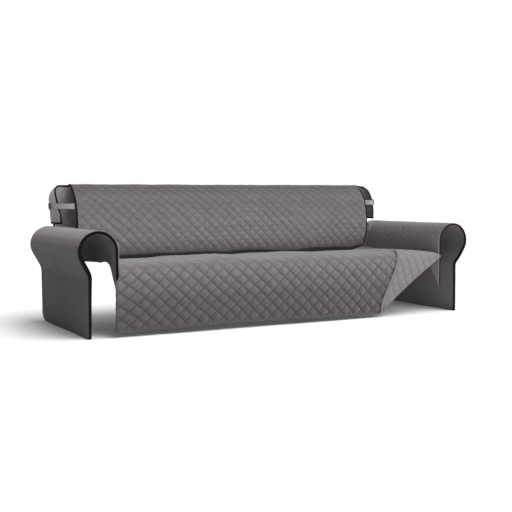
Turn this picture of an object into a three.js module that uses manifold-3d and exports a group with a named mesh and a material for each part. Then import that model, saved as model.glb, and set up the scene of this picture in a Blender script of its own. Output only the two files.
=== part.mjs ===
// Slip-on quilted cover for a wide sofa with rolled arms, in the shape in which it hangs when fitted.
// Millimetres. +Z is up, +X runs to the right and +Y to the back, seen from in front of the seat.
// Depths along Y are measured from the arm openings. The last lines move the cover so that its
// origin is on the floor in the middle of its footprint.
import * as THREE from "three";
import { mergeVertices } from "three/addons/utils/BufferGeometryUtils.js";
import Module from "manifold-3d";

const wasm = await Module();
wasm.setup();

// Driving dimensions.
const CLOTH = 3;
const SEAM_GAP = 0.4;
const ORIGIN_SETBACK = 489.8;
const FLOOR_CLEARANCE = 1.8;

const ARM_INNER = 1156;
const ROLL = { x: 1278, z: 495, halfWidth: 122, halfHeight: 115, lastAngle: -30 };
const ARM_OUTER = 1331;
const PINCH = { z: 343, slopeEnd: 0.78, blend: 25 };
const ARM_ROWS = { wall: 3, roll: 12, slope: 2, bend: 3, drop: 6 };
const ARM = { depth: 965, shapedFrom: 640, frontRise: 6, dropSetback: 28, ripple: 3 };
const TUCK = { x: 1143, firstRow: 2, lastRow: 7, behind: 2, top: 600 };
const SEAM_LAP = 12;

const SEAT = { halfWidth: ARM_INNER - SEAM_GAP, hemHalfWidth: 1182, columns: 55, rows: 32, puff: 7 };
const FOLD = { hemX: 645, armZ: 386, bow: 17, lift: 12, sections: 14 };
const DROP_SIDE_Z = 349;
const CREASE = { fadeFrom: 1000, fadeTo: 1130, slope: -0.513, run: 260 };
const SINK = { depth: 11, from: 560, to: 300 };
const ARM_TONGUE = { frontZ: 190, rise: 1.5 };
const CORNER = { sideX: 1172, angle: 33.8, puff: 3 };

const BACK = { halfWidth: 1130, columns: 60, rows: 30, puff: 5.5 };
const WRAP = { columns: 8, flatColumns: 3, cornerRadius: 30, widestDepth: 950, bottomZ: 622 };

const TAPE = { gap: 1, width: 8, height: 4 };
const BAND = { thick: 2.5, setback: 1.5 };
const STRAP = { height: 35, thick: 2, lap: 25, under: -7.4, over: 3.2 };
const STRAP_RUN = { sections: 22, riseFrom: 0.035, riseTo: 0.17, end: 0.72 };
const SLIDER = { width: 30, height: 42, thick: 6, corner: 6, edge: 1.5, gap: 0.6 };
const SLIDER_DEPTH = { left: 940, right: 915 };
const STRAP_HEIGHT = { left: 738, right: 749 };

const COLORS = {
  seat: 0x736c6e,
  back: 0x6f6869,
  arm: 0x5f5c5e,
  dark: 0x2b2222,
  strap: 0x928b8e,
  slider: 0x4a4038,
};

// Profile of the seat panel at the right arm, from the hem up the drop and back to the crease.
const SEAT_PROFILE = [
  { y: -4, z: 30 },
  { y: -10, z: 120 },
  { y: -14, z: 220 },
  { y: -13, z: 310 },
  { y: -8, z: 360 },
  { y: 6, z: 402 },
  { y: 45, z: 430 },
  { y: 110, z: 441 },
  { y: 200, z: 445 },
  { y: 300, z: 445 },
  { y: 516, z: 437 },
  { y: 700, z: 425 },
  { y: 865.3, z: 413 },
];

// How far the middle of the seat lies above or below that profile, and the height of the hem.
const SEAT_WAVES = [
  { x: -1156, rise: -22 },
  { x: -880, rise: -18 },
  { x: -700, rise: -20 },
  { x: -480, rise: -7 },
  { x: -80, rise: -21 },
  { x: 110, rise: -8 },
  { x: 470, rise: -22 },
  { x: 700, rise: -15 },
  { x: 880, rise: -14 },
  { x: 1020, rise: -20 },
  { x: 1156, rise: -30 },
];
const HEM_WAVES = [
  { x: -1182, z: 30 },
  { x: -1080, z: 32 },
  { x: -926, z: 38 },
  { x: -767, z: 36 },
  { x: -457, z: 42 },
  { x: -50, z: 35 },
  { x: 354, z: 30 },
  { x: 652, z: 26 },
  { x: 1182, z: 26 },
];

// Profile of the back panel, from the crease up the front, over the top and down the rear drop.
const BACK_PROFILE = [
  { y: 868, z: 409 },
  { y: 848, z: 448 },
  { y: 831, z: 500 },
  { y: 821, z: 555 },
  { y: 818, z: 612 },
  { y: 823, z: 671 },
  { y: 838, z: 742 },
  { y: 862, z: 789 },
  { y: 903, z: 834 },
  { y: 944, z: 870 },
  { y: 972, z: 881 },
  { y: 992, z: 873 },
  { y: 1001, z: 850 },
  { y: 1002, z: 780 },
  { y: 1002, z: 622 },
  { y: 998, z: 520 },
  { y: 994, z: 430 },
];

// Rounded ends of the back by height: how far they reach out, and where the rear drop's edge lies,
// as the angle from the widest point of the end towards its front.
const BACK_ENDS = [
  { z: 600, left: 1260, right: 1260, edgeAngle: 43 },
  { z: 631, left: 1261, right: 1262, edgeAngle: 42.5 },
  { z: 680, left: 1266, right: 1268, edgeAngle: 41 },
  { z: 740, left: 1270, right: 1264, edgeAngle: 38 },
  { z: 785, left: 1270, right: 1257, edgeAngle: 33 },
  { z: 824, left: 1260, right: 1246, edgeAngle: 26 },
  { z: 850, left: 1243, right: 1230, edgeAngle: 15 },
  { z: 868, left: 1220, right: 1206, edgeAngle: 4 },
  { z: 882, left: 1192, right: 1180, edgeAngle: 0 },
];

// Lines across the arm panels, from their rear end to the opening, and the height of the hem there.
const ARM_COLUMNS = [
  { y: 965, hemZ: 48 },
  { y: 945, hemZ: 20 },
  { y: 910, hemZ: 4 },
  { y: 840, hemZ: 2 },
  { y: 740, hemZ: 2 },
  { y: 640, hemZ: 2 },
  { y: 480, hemZ: 2 },
  { y: 320, hemZ: 2 },
  { y: 160, hemZ: 2 },
  { y: 60, hemZ: 2 },
  { y: 0, hemZ: 2 },
];

// Where the arm panels end beside the back, by row from the inner hem over the roll.
const ARM_REAR = [868, 856, 844, 832, 826, 830, 843, 873, 940, 965];

// Widths of the dark bands in the arm openings, along the arm's profile from its inner end.
const BAND_WIDTHS = [
  { along: 0, left: 17, right: 9 },
  { along: 0.25, left: 16, right: 9 },
  { along: 0.42, left: 17, right: 12 },
  { along: 0.55, left: 21, right: 14 },
  { along: 0.66, left: 23, right: 18 },
  { along: 0.72, left: 20, right: 18 },
  { along: 0.8, left: 18, right: 16 },
  { along: 1, left: 18, right: 16 },
];

// Smooth value of a table's column `out` where its column `key` is x.
function follow(table, key, out, x) {
  const last = table.length - 1;
  if (x <= table[0][key]) return table[0][out];
  if (x >= table[last][key]) return table[last][out];
  const i = table.findIndex((row) => row[key] > x) - 1;
  const slope = (k) => {
    const before = table[Math.max(k - 1, 0)];
    const after = table[Math.min(k + 1, last)];
    return (after[out] - before[out]) / (after[key] - before[key]);
  };
  const span = table[i + 1][key] - table[i][key];
  const t = (x - table[i][key]) / span;
  const start = table[i][out] * (2 * t ** 3 - 3 * t ** 2 + 1) + slope(i) * span * (t ** 3 - 2 * t ** 2 + t);
  const end = table[i + 1][out] * (3 * t ** 2 - 2 * t ** 3) + slope(i + 1) * span * (t ** 3 - t ** 2);
  return start + end;
}

const { clamp, degToRad, lerp, smoothstep } = THREE.MathUtils;

const steps = (count) => Array.from({ length: count + 1 }, (_, i) => i);

// Repeatable unevenness between 0 and 1 for a grid point.
function uneven(i, j) {
  const wave = Math.sin(i * 12.9898 + j * 78.233) * 43758.5453;
  return wave - Math.floor(wave);
}

// Height of the quilting at a grid point: diamonds swell at every second point and are drawn down
// to the stitches between them.
function quilt(i, j, puff) {
  return (i + j) % 2 === 0 ? puff * (0.8 + 0.4 * uneven(i, j)) : 0;
}

// Closed mesh from a list of triangle corners, turned so that its faces point outwards.
function meshFrom(corners) {
  let volume = 0;
  for (let k = 0; k < corners.length; k += 3) {
    volume += corners[k].dot(corners[k + 1].clone().cross(corners[k + 2]));
  }
  if (volume < 0) {
    for (let k = 0; k < corners.length; k += 3) {
      [corners[k + 1], corners[k + 2]] = [corners[k + 2], corners[k + 1]];
    }
  }
  return mergeVertices(new THREE.BufferGeometry().setFromPoints(corners), 1e-3);
}

// Cloth of a given thickness over a grid of points. `point(i, j)` is the cloth's face at its stitches,
// `raise(i, j)` what the face stands above that, and `keep(i, j)` says whether a grid cell is cloth.
// The rim of the cloth is flat.
// The reverse has fewer columns than the face: only those in `reverseColumns`.
function cloth({ columns, rows, point, raise = () => 0, keep = () => true, reverseColumns }) {
  const key = (i, j) => i * (rows + 1) + j;
  const base = new Map();
  const normals = new Map();
  for (const i of steps(columns)) {
    for (const j of steps(rows)) {
      base.set(key(i, j), point(i, j));
      normals.set(key(i, j), new THREE.Vector3());
    }
  }
  for (let i = 0; i < columns; i++) {
    for (let j = 0; j < rows; j++) {
      if (!keep(i, j)) continue;
      const across = base.get(key(i + 1, j + 1)).clone().sub(base.get(key(i, j)));
      const along = base.get(key(i, j + 1)).clone().sub(base.get(key(i + 1, j)));
      const normal = across.cross(along).normalize();
      for (const corner of [key(i, j), key(i + 1, j), key(i + 1, j + 1), key(i, j + 1)]) {
        normals.get(corner).add(normal);
      }
    }
  }
  for (const normal of normals.values()) normal.normalize();
  const isCloth = (i, j) => i >= 0 && i < columns && j >= 0 && j < rows && keep(i, j);
  const inside = (i, j) => isCloth(i, j) && isCloth(i - 1, j) && isCloth(i, j - 1) && isCloth(i - 1, j - 1);
  const at = (i, j, height) => base.get(key(i, j)).clone().addScaledVector(normals.get(key(i, j)), height);
  const face = (i, j) => at(i, j, inside(i, j) ? raise(i, j) : 0);
  const reverse = (i, j) => at(i, j, -CLOTH);
  const corners = [];

  // Strip between a run of face points and the two reverse points at its ends.
  function edge(points, first, last) {
    const middle = Math.floor(points.length / 2);
    for (let k = 0; k + 1 < points.length; k++) {
      corners.push(points[k + 1], points[k], k < middle ? first : last);
    }
    corners.push(points[middle], first, last);
  }

  const marks = reverseColumns ?? steps(columns);
  for (let m = 0; m + 1 < marks.length; m++) {
    const [a, b] = [marks[m], marks[m + 1]];
    const run = steps(b - a).map((k) => a + k);
    for (let j = 0; j < rows; j++) {
      if (!keep(a, j)) continue;
      for (let i = a; i < b; i++) {
        const [p, q, r, s] = [face(i, j), face(i + 1, j), face(i + 1, j + 1), face(i, j + 1)];
        if ((i + j) % 2 === 0) corners.push(p, q, s, q, r, s);
        else corners.push(p, q, r, p, r, s);
      }
      const [p, q, r, s] = [reverse(a, j), reverse(b, j), reverse(b, j + 1), reverse(a, j + 1)];
      corners.push(p, r, q, p, s, r);
      if (!isCloth(a, j - 1)) edge(run.map((i) => face(i, j)), p, q);
      if (!isCloth(a, j + 1)) edge(run.map((i) => face(i, j + 1)).reverse(), r, s);
      if (!isCloth(a - 1, j)) {
        corners.push(face(a, j), face(a, j + 1), s, face(a, j), s, p);
      }
      if (!isCloth(b, j)) {
        corners.push(face(b, j + 1), face(b, j), q, face(b, j + 1), q, r);
      }
    }
  }
  const middle = (i, j) => ({ at: at(i, j, -CLOTH / 2), normal: normals.get(key(i, j)) });
  return { geometry: meshFrom(corners), middle };
}

// Bar swept through sections with the same number of corners, closed at both ends.
function sweptBar(sections) {
  const corners = [];
  const sides = sections[0].length;
  for (let k = 0; k + 1 < sections.length; k++) {
    for (let c = 0; c < sides; c++) {
      const next = (c + 1) % sides;
      const [p, q] = [sections[k][c], sections[k][next]];
      const [r, s] = [sections[k + 1][next], sections[k + 1][c]];
      corners.push(p, q, r, p, r, s);
    }
  }
  const [first, last] = [sections[0], sections.at(-1)];
  for (let c = 1; c + 1 < sides; c++) {
    corners.push(first[0], first[c + 1], first[c]);
    corners.push(last[0], last[c], last[c + 1]);
  }
  return meshFrom(corners);
}

function toSolid(geometry) {
  return new wasm.Manifold(
    new wasm.Mesh({
      numProp: 3,
      vertProperties: geometry.attributes.position.array,
      triVerts: new Uint32Array(geometry.index.array),
    }),
  );
}

function toGeometry(solid) {
  const mesh = solid.getMesh();
  const geometry = new THREE.BufferGeometry();
  geometry.setAttribute("position", new THREE.BufferAttribute(mesh.vertProperties, 3));
  geometry.setIndex(new THREE.BufferAttribute(mesh.triVerts, 1));
  return geometry;
}

// The same closed mesh on the other side of the cover.
function mirrored(geometry) {
  const flat = geometry.toNonIndexed().attributes.position;
  const corners = steps(flat.count - 1).map(
    (k) => new THREE.Vector3(-flat.getX(k), flat.getY(k), flat.getZ(k)),
  );
  return meshFrom(corners);
}

// Where a steadily changing measure reaches a value, between two limits.
function solve(measure, value, low, high) {
  const rising = measure(high) > measure(low);
  let [from, to] = [low, high];
  for (let n = 0; n < 40; n++) {
    const middle = (from + to) / 2;
    if (measure(middle) < value === rising) from = middle;
    else to = middle;
  }
  return (from + to) / 2;
}

const curveOf = (profile) => new THREE.SplineCurve(profile.map((row) => new THREE.Vector2(row.y, row.z)));

// Seat panel: seat, front drop and hem, with its lower right corner folded back over the drop.
const seatCurve = curveOf(SEAT_PROFILE);
const seatLength = seatCurve.getLength();
const seatPitch = seatLength / SEAT.rows;

// How far the crease lies above its profile: it follows the seat's waves and sinks with the rear
// of the seat, but not beside the arms.
function creaseSag(x) {
  const fade = smoothstep(Math.abs(x), CREASE.fadeFrom, CREASE.fadeTo);
  return (follow(SEAT_WAVES, "x", "rise", x) - SINK.depth) * (1 - fade);
}

// Point of the seat's cloth at a place across it and a distance up from its hem.
function seatPoint(x, along) {
  const { x: y, y: z } = seatCurve.getPointAt(clamp(along / seatLength, 0, 1));
  const nearHem = 1 - smoothstep(along, 0, 300);
  const nearCrease = smoothstep(along, seatLength - CREASE.run, seatLength);
  const wave = follow(SEAT_WAVES, "x", "rise", x) * smoothstep(along, 330, 520);
  const sink = SINK.depth * smoothstep(along, seatLength - SINK.from, seatLength - SINK.to);
  const fade = smoothstep(Math.abs(x), CREASE.fadeFrom, CREASE.fadeTo);
  const sag = lerp(wave - sink * (1 - fade), creaseSag(x), nearCrease);
  const back = CREASE.slope * creaseSag(x) * nearCrease;
  const hem = (follow(HEM_WAVES, "x", "z", x) - SEAT_PROFILE[0].z) * nearHem;
  const ripple = 3 * Math.sin(x / 150) * (1 - smoothstep(along, 150, 380));
  return new THREE.Vector3(x, y - ripple + back, z + sag + hem + Math.min(along, 0));
}

function seatNormal(x, along) {
  const across = seatPoint(x + 1, along).sub(seatPoint(x - 1, along));
  const up = seatPoint(x, along + 1).sub(seatPoint(x, along - 1));
  return across.cross(up).normalize();
}

const foldAlong = solve((along) => seatPoint(SEAT.halfWidth, along).z, FOLD.armZ, 0, 420);
const cornerAlong = solve((along) => seatPoint(SEAT.halfWidth, along).z, DROP_SIDE_Z, 0, 420);

// Height of the seat's side edge beside an arm, by depth.
function seatEdgeHeight(side, y) {
  const edge = (along) => seatPoint(side * SEAT.halfWidth, along);
  return edge(solve((along) => edge(along).y, y, 330, seatLength)).z;
}

// Below the arm openings the drop reaches a little further out at both sides.
function seatColumn(i, along) {
  const x = lerp(-SEAT.halfWidth, SEAT.halfWidth, i / SEAT.columns);
  const isSide = i === 0 || i === SEAT.columns;
  return isSide && along < cornerAlong ? Math.sign(x) * SEAT.hemHalfWidth : x;
}

// The fold runs up the drop from the hem to the arm, a little bowed. Places on it are given as x and
// the distance up from the hem.
const foldStart = new THREE.Vector2(FOLD.hemX, 0);
const foldEnd = new THREE.Vector2(SEAT.halfWidth, foldAlong);
const foldChord = foldEnd.clone().sub(foldStart).normalize();

function foldAt(share) {
  const bow = FOLD.bow * 4 * share * (1 - share);
  return foldStart.clone().lerp(foldEnd, share).add(new THREE.Vector2(-foldChord.y * bow, foldChord.x * bow));
}

// Solid that takes away the cloth beyond the fold.
function beyondFold() {
  const onFold = steps(12).map((k) => {
    const flat = foldAt(k / 12);
    const place = seatPoint(flat.x, flat.y);
    return new THREE.Vector2(place.x, place.z);
  });
  const [first, second] = onFold;
  const [last, beforeLast] = [onFold.at(-1), onFold.at(-2)];
  const low = first.clone().lerp(second, -12);
  const high = last.clone().lerp(beforeLast, -3);
  const outline = new THREE.Shape([low, new THREE.Vector2(high.x, low.y), high, ...onFold.reverse()]);
  const wedge = new THREE.ExtrudeGeometry(outline, { depth: 90, bevelEnabled: false });
  wedge.rotateX(Math.PI / 2).translate(0, 25, 0);
  wedge.deleteAttribute("normal").deleteAttribute("uv");
  return toSolid(mergeVertices(wedge, 1e-3));
}

// The folded corner is the corner of the flat cloth, mirrored in the fold and laid on the drop.
function foldedCorner() {
  const pitch = (2 * SEAT.halfWidth) / SEAT.columns;
  const turn = degToRad(CORNER.angle);
  const mirror = new THREE.Vector2(Math.cos(turn), Math.sin(turn));
  const columns = Math.round((CORNER.sideX - FOLD.hemX) / pitch);
  const rows = Math.ceil(foldAlong / seatPitch) + 1;
  const point = (i, j) => {
    const x = lerp(CORNER.sideX, FOLD.hemX - 3, i / columns);
    const flat = new THREE.Vector2(x, j * seatPitch).sub(foldStart);
    const laid = mirror.clone().multiplyScalar(2 * flat.dot(mirror)).sub(flat).add(foldStart);
    return seatPoint(laid.x, laid.y).addScaledVector(seatNormal(laid.x, laid.y), FOLD.lift);
  };
  return cloth({ columns, rows, point, raise: (i, j) => quilt(i, j, CORNER.puff) }).geometry;
}

// Round bend of the cloth along the fold.
function foldBend() {
  const radius = FOLD.lift / 2 + CLOTH;
  const sections = steps(FOLD.sections).map((k) => {
    const share = lerp(0.01, 0.975, k / FOLD.sections);
    const flat = foldAt(share);
    const run = foldAt(share + 0.01).sub(foldAt(share - 0.01)).normalize();
    const place = seatPoint(flat.x, flat.y);
    const normal = seatNormal(flat.x, flat.y);
    const outward = seatPoint(flat.x + run.y, flat.y - run.x).sub(place).normalize();
    place.addScaledVector(normal, FOLD.lift / 2);
    return steps(7).map((c) => {
      const [up, out] = [Math.cos((c * Math.PI) / 4), Math.sin((c * Math.PI) / 4)];
      return place.clone().addScaledVector(normal, radius * up).addScaledVector(outward, radius * out);
    });
  });
  return sweptBar(sections);
}

function seatPanel() {
  const whole = cloth({
    columns: SEAT.columns,
    rows: SEAT.rows,
    point: (i, j) => seatPoint(seatColumn(i, j * seatPitch), j * seatPitch),
    raise: (i, j) => quilt(i, j, SEAT.puff),
    reverseColumns: steps(SEAT.columns / 5).map((m) => m * 5),
  }).geometry;
  const wedge = beyondFold();
  const drop = toSolid(whole).subtract(wedge);
  const corner = toSolid(foldedCorner()).subtract(wedge);
  return toGeometry(drop.add(corner).add(toSolid(foldBend())));
}

// Back panel: front of the back, over the top, and the rear drop, which wraps the rounded rear
// corners down to the arms.
const backCurve = curveOf(BACK_PROFILE);
const backHeight = (t) => backCurve.getPointAt(t).y;
const heights = steps(BACK.rows).map((j) => backHeight(j / BACK.rows));
const ridgeRow = heights.indexOf(Math.max(...heights));
const backFront = (z) => backCurve.getPointAt(solve(backHeight, z, 0, ridgeRow / BACK.rows)).x;
const wrapStart = ridgeRow + 1;
const wrapEnd = heights.findIndex((z, j) => j > wrapStart && z < WRAP.bottomZ + 15);
const halfColumns = BACK.columns / 2;
const backColumns = BACK.columns + 2 * WRAP.columns;

// Plan outline of one end at a height, drawn on the right: from the side edge's line round the rear
// corner to the edge of the rear drop, or right round to the front.
function endOutline(side, z, lastAngle) {
  const yFront = backFront(z);
  const yRear = backCurve.getPointAt(solve(backHeight, z, wrapStart / BACK.rows, 1)).x;
  const widest = follow(BACK_ENDS, "z", side, z);
  const yWidest = Math.max(WRAP.widestDepth, (yFront + yRear) / 2);
  const radius = Math.min(WRAP.cornerRadius, yRear - yWidest);
  const path = new THREE.Path();
  path.moveTo(BACK.halfWidth, yRear);
  path.lineTo(widest - radius, yRear);
  path.absarc(widest - radius, yRear - radius, radius, Math.PI / 2, 0, true);
  path.lineTo(widest, yWidest);
  path.absellipse(
    BACK.halfWidth,
    yWidest,
    widest - BACK.halfWidth,
    yWidest - yFront,
    0,
    -degToRad(lastAngle),
    true,
  );
  return path;
}

function backPoint(i, j) {
  const column = i - backColumns / 2;
  const side = column < 0 ? "left" : "right";
  const { x: y, y: z } = backCurve.getPointAt(j / BACK.rows);
  const beyond = Math.abs(column) - halfColumns;
  if (beyond <= 0 || j < wrapStart) {
    const x = (column * BACK.halfWidth) / halfColumns;
    const sag = j === 0 ? creaseSag(x) : 0;
    return new THREE.Vector3(x, y + CREASE.slope * sag, z + sag);
  }
  const outline = endOutline(side, z, follow(BACK_ENDS, "z", "edgeAngle", z));
  const place = outline.getPointAt(beyond / WRAP.columns);
  return new THREE.Vector3(Math.sign(column) * place.x, place.y, z);
}

// Columns past the side edges, counted outwards from 1, or 0 and less on the front of the back.
const columnsBeyond = (i) => Math.max(WRAP.columns - i, i + 1 - WRAP.columns - BACK.columns);

function backKeep(i, j) {
  const beyond = columnsBeyond(i);
  if (beyond <= 0) return true;
  return j >= wrapStart && (j < wrapEnd || beyond <= WRAP.flatColumns);
}

const backPanel = cloth({
  columns: backColumns,
  rows: BACK.rows,
  point: backPoint,
  keep: backKeep,
  raise: (i, j) => {
    const isWrap = Math.abs(i - backColumns / 2) >= halfColumns + WRAP.flatColumns;
    const isTop = Math.abs(j - ridgeRow) <= 1;
    return isWrap || isTop || j === 1 ? 0 : quilt(i, j, BACK.puff);
  },
  reverseColumns: steps(backColumns).filter(
    (i) => columnsBeyond(i) > 0 || columnsBeyond(i - 1) > 0 || (i - WRAP.columns) % 6 === 0,
  ),
});

// Dark binding along the back panel's free edge at one end: up the front side edge, over the
// top, round the rear drop's wrapped edge, and down its lower side edge.
function backTape(side) {
  const route = [
    ...steps(wrapStart - 1).map((j) => [0, j + 1]),
    ...steps(WRAP.columns - 1).map((k) => [k + 1, wrapStart]),
    ...steps(wrapEnd - wrapStart - 1).map((k) => [WRAP.columns, wrapStart + 1 + k]),
    ...steps(WRAP.columns - WRAP.flatColumns - 1).map((k) => [WRAP.columns - 1 - k, wrapEnd]),
    ...steps(BACK.rows - wrapEnd - 1).map((k) => [WRAP.flatColumns, wrapEnd + 1 + k]),
  ];
  const isLeft = side === "left";
  const points = route.map(([beyond, j]) => {
    const i = WRAP.columns + BACK.columns + beyond;
    return backPanel.middle(isLeft ? backColumns - i : i, j);
  });
  return sweptBar(
    points.map(({ at, normal }, k) => {
      const outwards = [points[k - 1]?.at.clone().sub(at).negate(), points[k + 1]?.at.clone().sub(at)]
        .filter(Boolean)
        .map((run) => run.cross(normal).multiplyScalar(isLeft ? -1 : 1).normalize());
      const mitre = outwards[0].clone();
      if (outwards.length > 1) {
        mitre.add(outwards[1]).divideScalar(1 + outwards[0].dot(outwards[1]));
      }
      const corner = (out, up) => at.clone().addScaledVector(mitre, out).addScaledVector(normal, up);
      const [inner, outer, half] = [TAPE.gap, TAPE.gap + TAPE.width, TAPE.height / 2];
      return [corner(inner, -half), corner(inner, half), corner(outer, half), corner(outer, -half)];
    }),
  );
}

// Arm panels, made for the right side: up the inner side, over the roll, under it and down the
// outer side.
const armStations = [];
for (const k of steps(ARM_ROWS.roll)) {
  const angle = degToRad(lerp(180, ROLL.lastAngle, k / ARM_ROWS.roll));
  const x = ROLL.x + ROLL.halfWidth * Math.cos(angle);
  armStations.push({ x, z: ROLL.z + ROLL.halfHeight * Math.sin(angle) });
}
const rollEnd = new THREE.Vector2(armStations.at(-1).x, armStations.at(-1).z);
const pinch = new THREE.Vector2(ARM_OUTER, PINCH.z);
const bend = new THREE.QuadraticBezierCurve(
  rollEnd.clone().lerp(pinch, PINCH.slopeEnd),
  pinch,
  new THREE.Vector2(ARM_OUTER, PINCH.z - PINCH.blend),
);
for (const k of steps(ARM_ROWS.slope - 1)) {
  const { x, y: z } = rollEnd.clone().lerp(bend.v0, (k + 1) / ARM_ROWS.slope);
  armStations.push({ x, z });
}
for (const k of steps(ARM_ROWS.bend - 1)) {
  const { x, y: z } = bend.getPoint((k + 1) / ARM_ROWS.bend);
  armStations.push({ x, z });
}
const armRows = ARM_ROWS.wall + armStations.length - 1 + ARM_ROWS.drop;

// At its front the inner side reaches down behind the drop in a tongue.
function armHeight(side, depth, j) {
  if (j < ARM_ROWS.wall) {
    const tongue = ARM_TONGUE.frontZ + ARM_TONGUE.rise * depth;
    const low = Math.min(seatEdgeHeight(side, depth) - SEAM_LAP, tongue);
    return lerp(low, ROLL.z, j / ARM_ROWS.wall);
  }
  const { z } = armStations[Math.min(j - ARM_ROWS.wall, armStations.length - 1)];
  const raised = Math.max(z - ROLL.z, 0) / ROLL.halfHeight;
  return z + ARM.frontRise * raised * (1 - depth / ARM.depth);
}

// The rear end of the inner side turns in along the front of the back, beside the back panel.
function armPoint(side, i, j) {
  const { y, hemZ } = ARM_COLUMNS[i];
  const rear = ARM_REAR[Math.min(j, ARM_REAR.length - 1)];
  const shaped = Math.max(y - ARM.shapedFrom, 0) / (ARM.depth - ARM.shapedFrom);
  const onDrop = smoothstep(j, ARM_ROWS.wall + ARM_ROWS.roll, armRows - ARM_ROWS.drop);
  const nearFront = 1 - smoothstep(y, 0, ARM.shapedFrom);
  const depth = y - shaped * (ARM.depth - rear) + ARM.dropSetback * onDrop * nearFront;
  const height = armHeight(side, depth, j);
  if (i === 0 && j >= TUCK.firstRow && j <= TUCK.lastRow) {
    const z = Math.min(height, TUCK.top);
    return new THREE.Vector3(TUCK.x, backFront(z) + TUCK.behind, z);
  }
  const station = armStations[clamp(j - ARM_ROWS.wall, 0, armStations.length - 1)];
  const down = Math.max(j - (armRows - ARM_ROWS.drop), 0) / ARM_ROWS.drop;
  const ripple = ARM.ripple * Math.sin(y / 95 + 1) * down;
  return new THREE.Vector3(station.x + ripple, depth, lerp(height, hemZ, down));
}

function armPanel(side) {
  return cloth({
    columns: ARM_COLUMNS.length - 1,
    rows: armRows,
    point: (i, j) => armPoint(side, i, j),
  });
}

// Dark band turned in over the front of the arm, along the panel's front edge down to the floor.
function armBand(panel, side) {
  const front = ARM_COLUMNS.length - 1;
  return sweptBar(
    steps(armRows).map((j) => {
      const { at, normal } = panel.middle(front, j);
      const width = follow(BAND_WIDTHS, "along", side, j / armRows);
      const corner = (depth, y) => at.clone().addScaledVector(normal, -depth).setY(at.y + y);
      const outer = CLOTH / 2 + SEAM_GAP;
      const inner = outer + width;
      const [near, far] = [BAND.setback, BAND.setback + BAND.thick];
      return [corner(outer, near), corner(inner, near), corner(inner, far), corner(outer, far)];
    }),
  );
}

// Straps across the ends of the back, made for the right side: from behind the front edge, over the
// edge of the rear drop and round to the rear corner.
function endStrap(side, centreZ) {
  const heightsOf = [centreZ - STRAP.height / 2, centreZ + STRAP.height / 2];
  const outlines = heightsOf.map((z) => endOutline(side, z, 90));
  const section = (outward, placeAt) => {
    const [low, high] = heightsOf.map((z, n) => {
      const { place, facing } = placeAt(z, outlines[n]);
      return [outward, outward + STRAP.thick].map(
        (off) => new THREE.Vector3(place.x + facing.x * off, place.y + facing.y * off, z),
      );
    });
    return [low[0], low[1], high[1], high[0]];
  };
  const behindFront = [STRAP.lap, 1].map((inset) =>
    section(STRAP.under, (z) => ({
      place: new THREE.Vector2(BACK.halfWidth - inset, backFront(z)),
      facing: new THREE.Vector2(0, -1),
    })),
  );
  const roundEnd = steps(STRAP_RUN.sections).map((k) => {
    const share = (k / STRAP_RUN.sections) * STRAP_RUN.end;
    const outward = lerp(STRAP.under, STRAP.over, smoothstep(share, STRAP_RUN.riseFrom, STRAP_RUN.riseTo));
    return section(outward, (z, outline) => {
      const run = outline.getTangentAt(1 - share);
      return { place: outline.getPointAt(1 - share), facing: new THREE.Vector2(-run.y, run.x) };
    });
  });
  return sweptBar([...behindFront, ...roundEnd]);
}

// Slider on the outside of a strap.
function strapSlider(side, centreZ, depthY) {
  const { width, height, thick, corner, edge } = SLIDER;
  const [halfWidth, halfHeight] = [width / 2 - edge, height / 2 - edge];
  const plate = new THREE.Shape();
  plate.moveTo(halfWidth, halfHeight - corner);
  plate.absarc(halfWidth - corner, halfHeight - corner, corner, 0, Math.PI / 2);
  plate.absarc(corner - halfWidth, halfHeight - corner, corner, Math.PI / 2, Math.PI);
  plate.absarc(corner - halfWidth, corner - halfHeight, corner, Math.PI, 1.5 * Math.PI);
  plate.absarc(halfWidth - corner, corner - halfHeight, corner, 1.5 * Math.PI, 2 * Math.PI);
  const geometry = new THREE.ExtrudeGeometry(plate, {
    depth: thick - 2 * edge,
    bevelThickness: edge,
    bevelSize: edge,
    bevelSegments: 2,
    curveSegments: 4,
  });
  geometry.deleteAttribute("normal").deleteAttribute("uv");
  const [low, high] = [-1, 1].map((end) => {
    const z = centreZ + (end * STRAP.height) / 2;
    const outline = endOutline(side, z, 90);
    const place = outline.getPointAt(solve((t) => outline.getPointAt(t).y, depthY, 0.3, 1));
    return new THREE.Vector3(place.x, place.y, z);
  });
  const outline = endOutline(side, centreZ, 90);
  const run = outline.getTangentAt(solve((t) => outline.getPointAt(t).y, depthY, 0.3, 1));
  const across = new THREE.Vector3(-run.x, -run.y, 0);
  const up = high.clone().sub(low).normalize();
  const facing = across.clone().cross(up);
  const place = low.clone().lerp(high, 0.5);
  place.addScaledVector(facing, STRAP.over + STRAP.thick + SLIDER.gap + edge);
  const turn = new THREE.Matrix4().makeBasis(across, up, facing).setPosition(place);
  return mergeVertices(geometry.applyMatrix4(turn), 1e-3);
}

// The whole cover.
const cover = new THREE.Group();
cover.name = "sofa_cover";

function add(name, geometry, color, roughness) {
  const mesh = new THREE.Mesh(geometry, new THREE.MeshStandardMaterial({ color, roughness }));
  mesh.name = name;
  cover.add(mesh);
}

add("back_panel", backPanel.geometry, COLORS.back, 0.9);
add("seat_panel", seatPanel(), COLORS.seat, 0.9);

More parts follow.
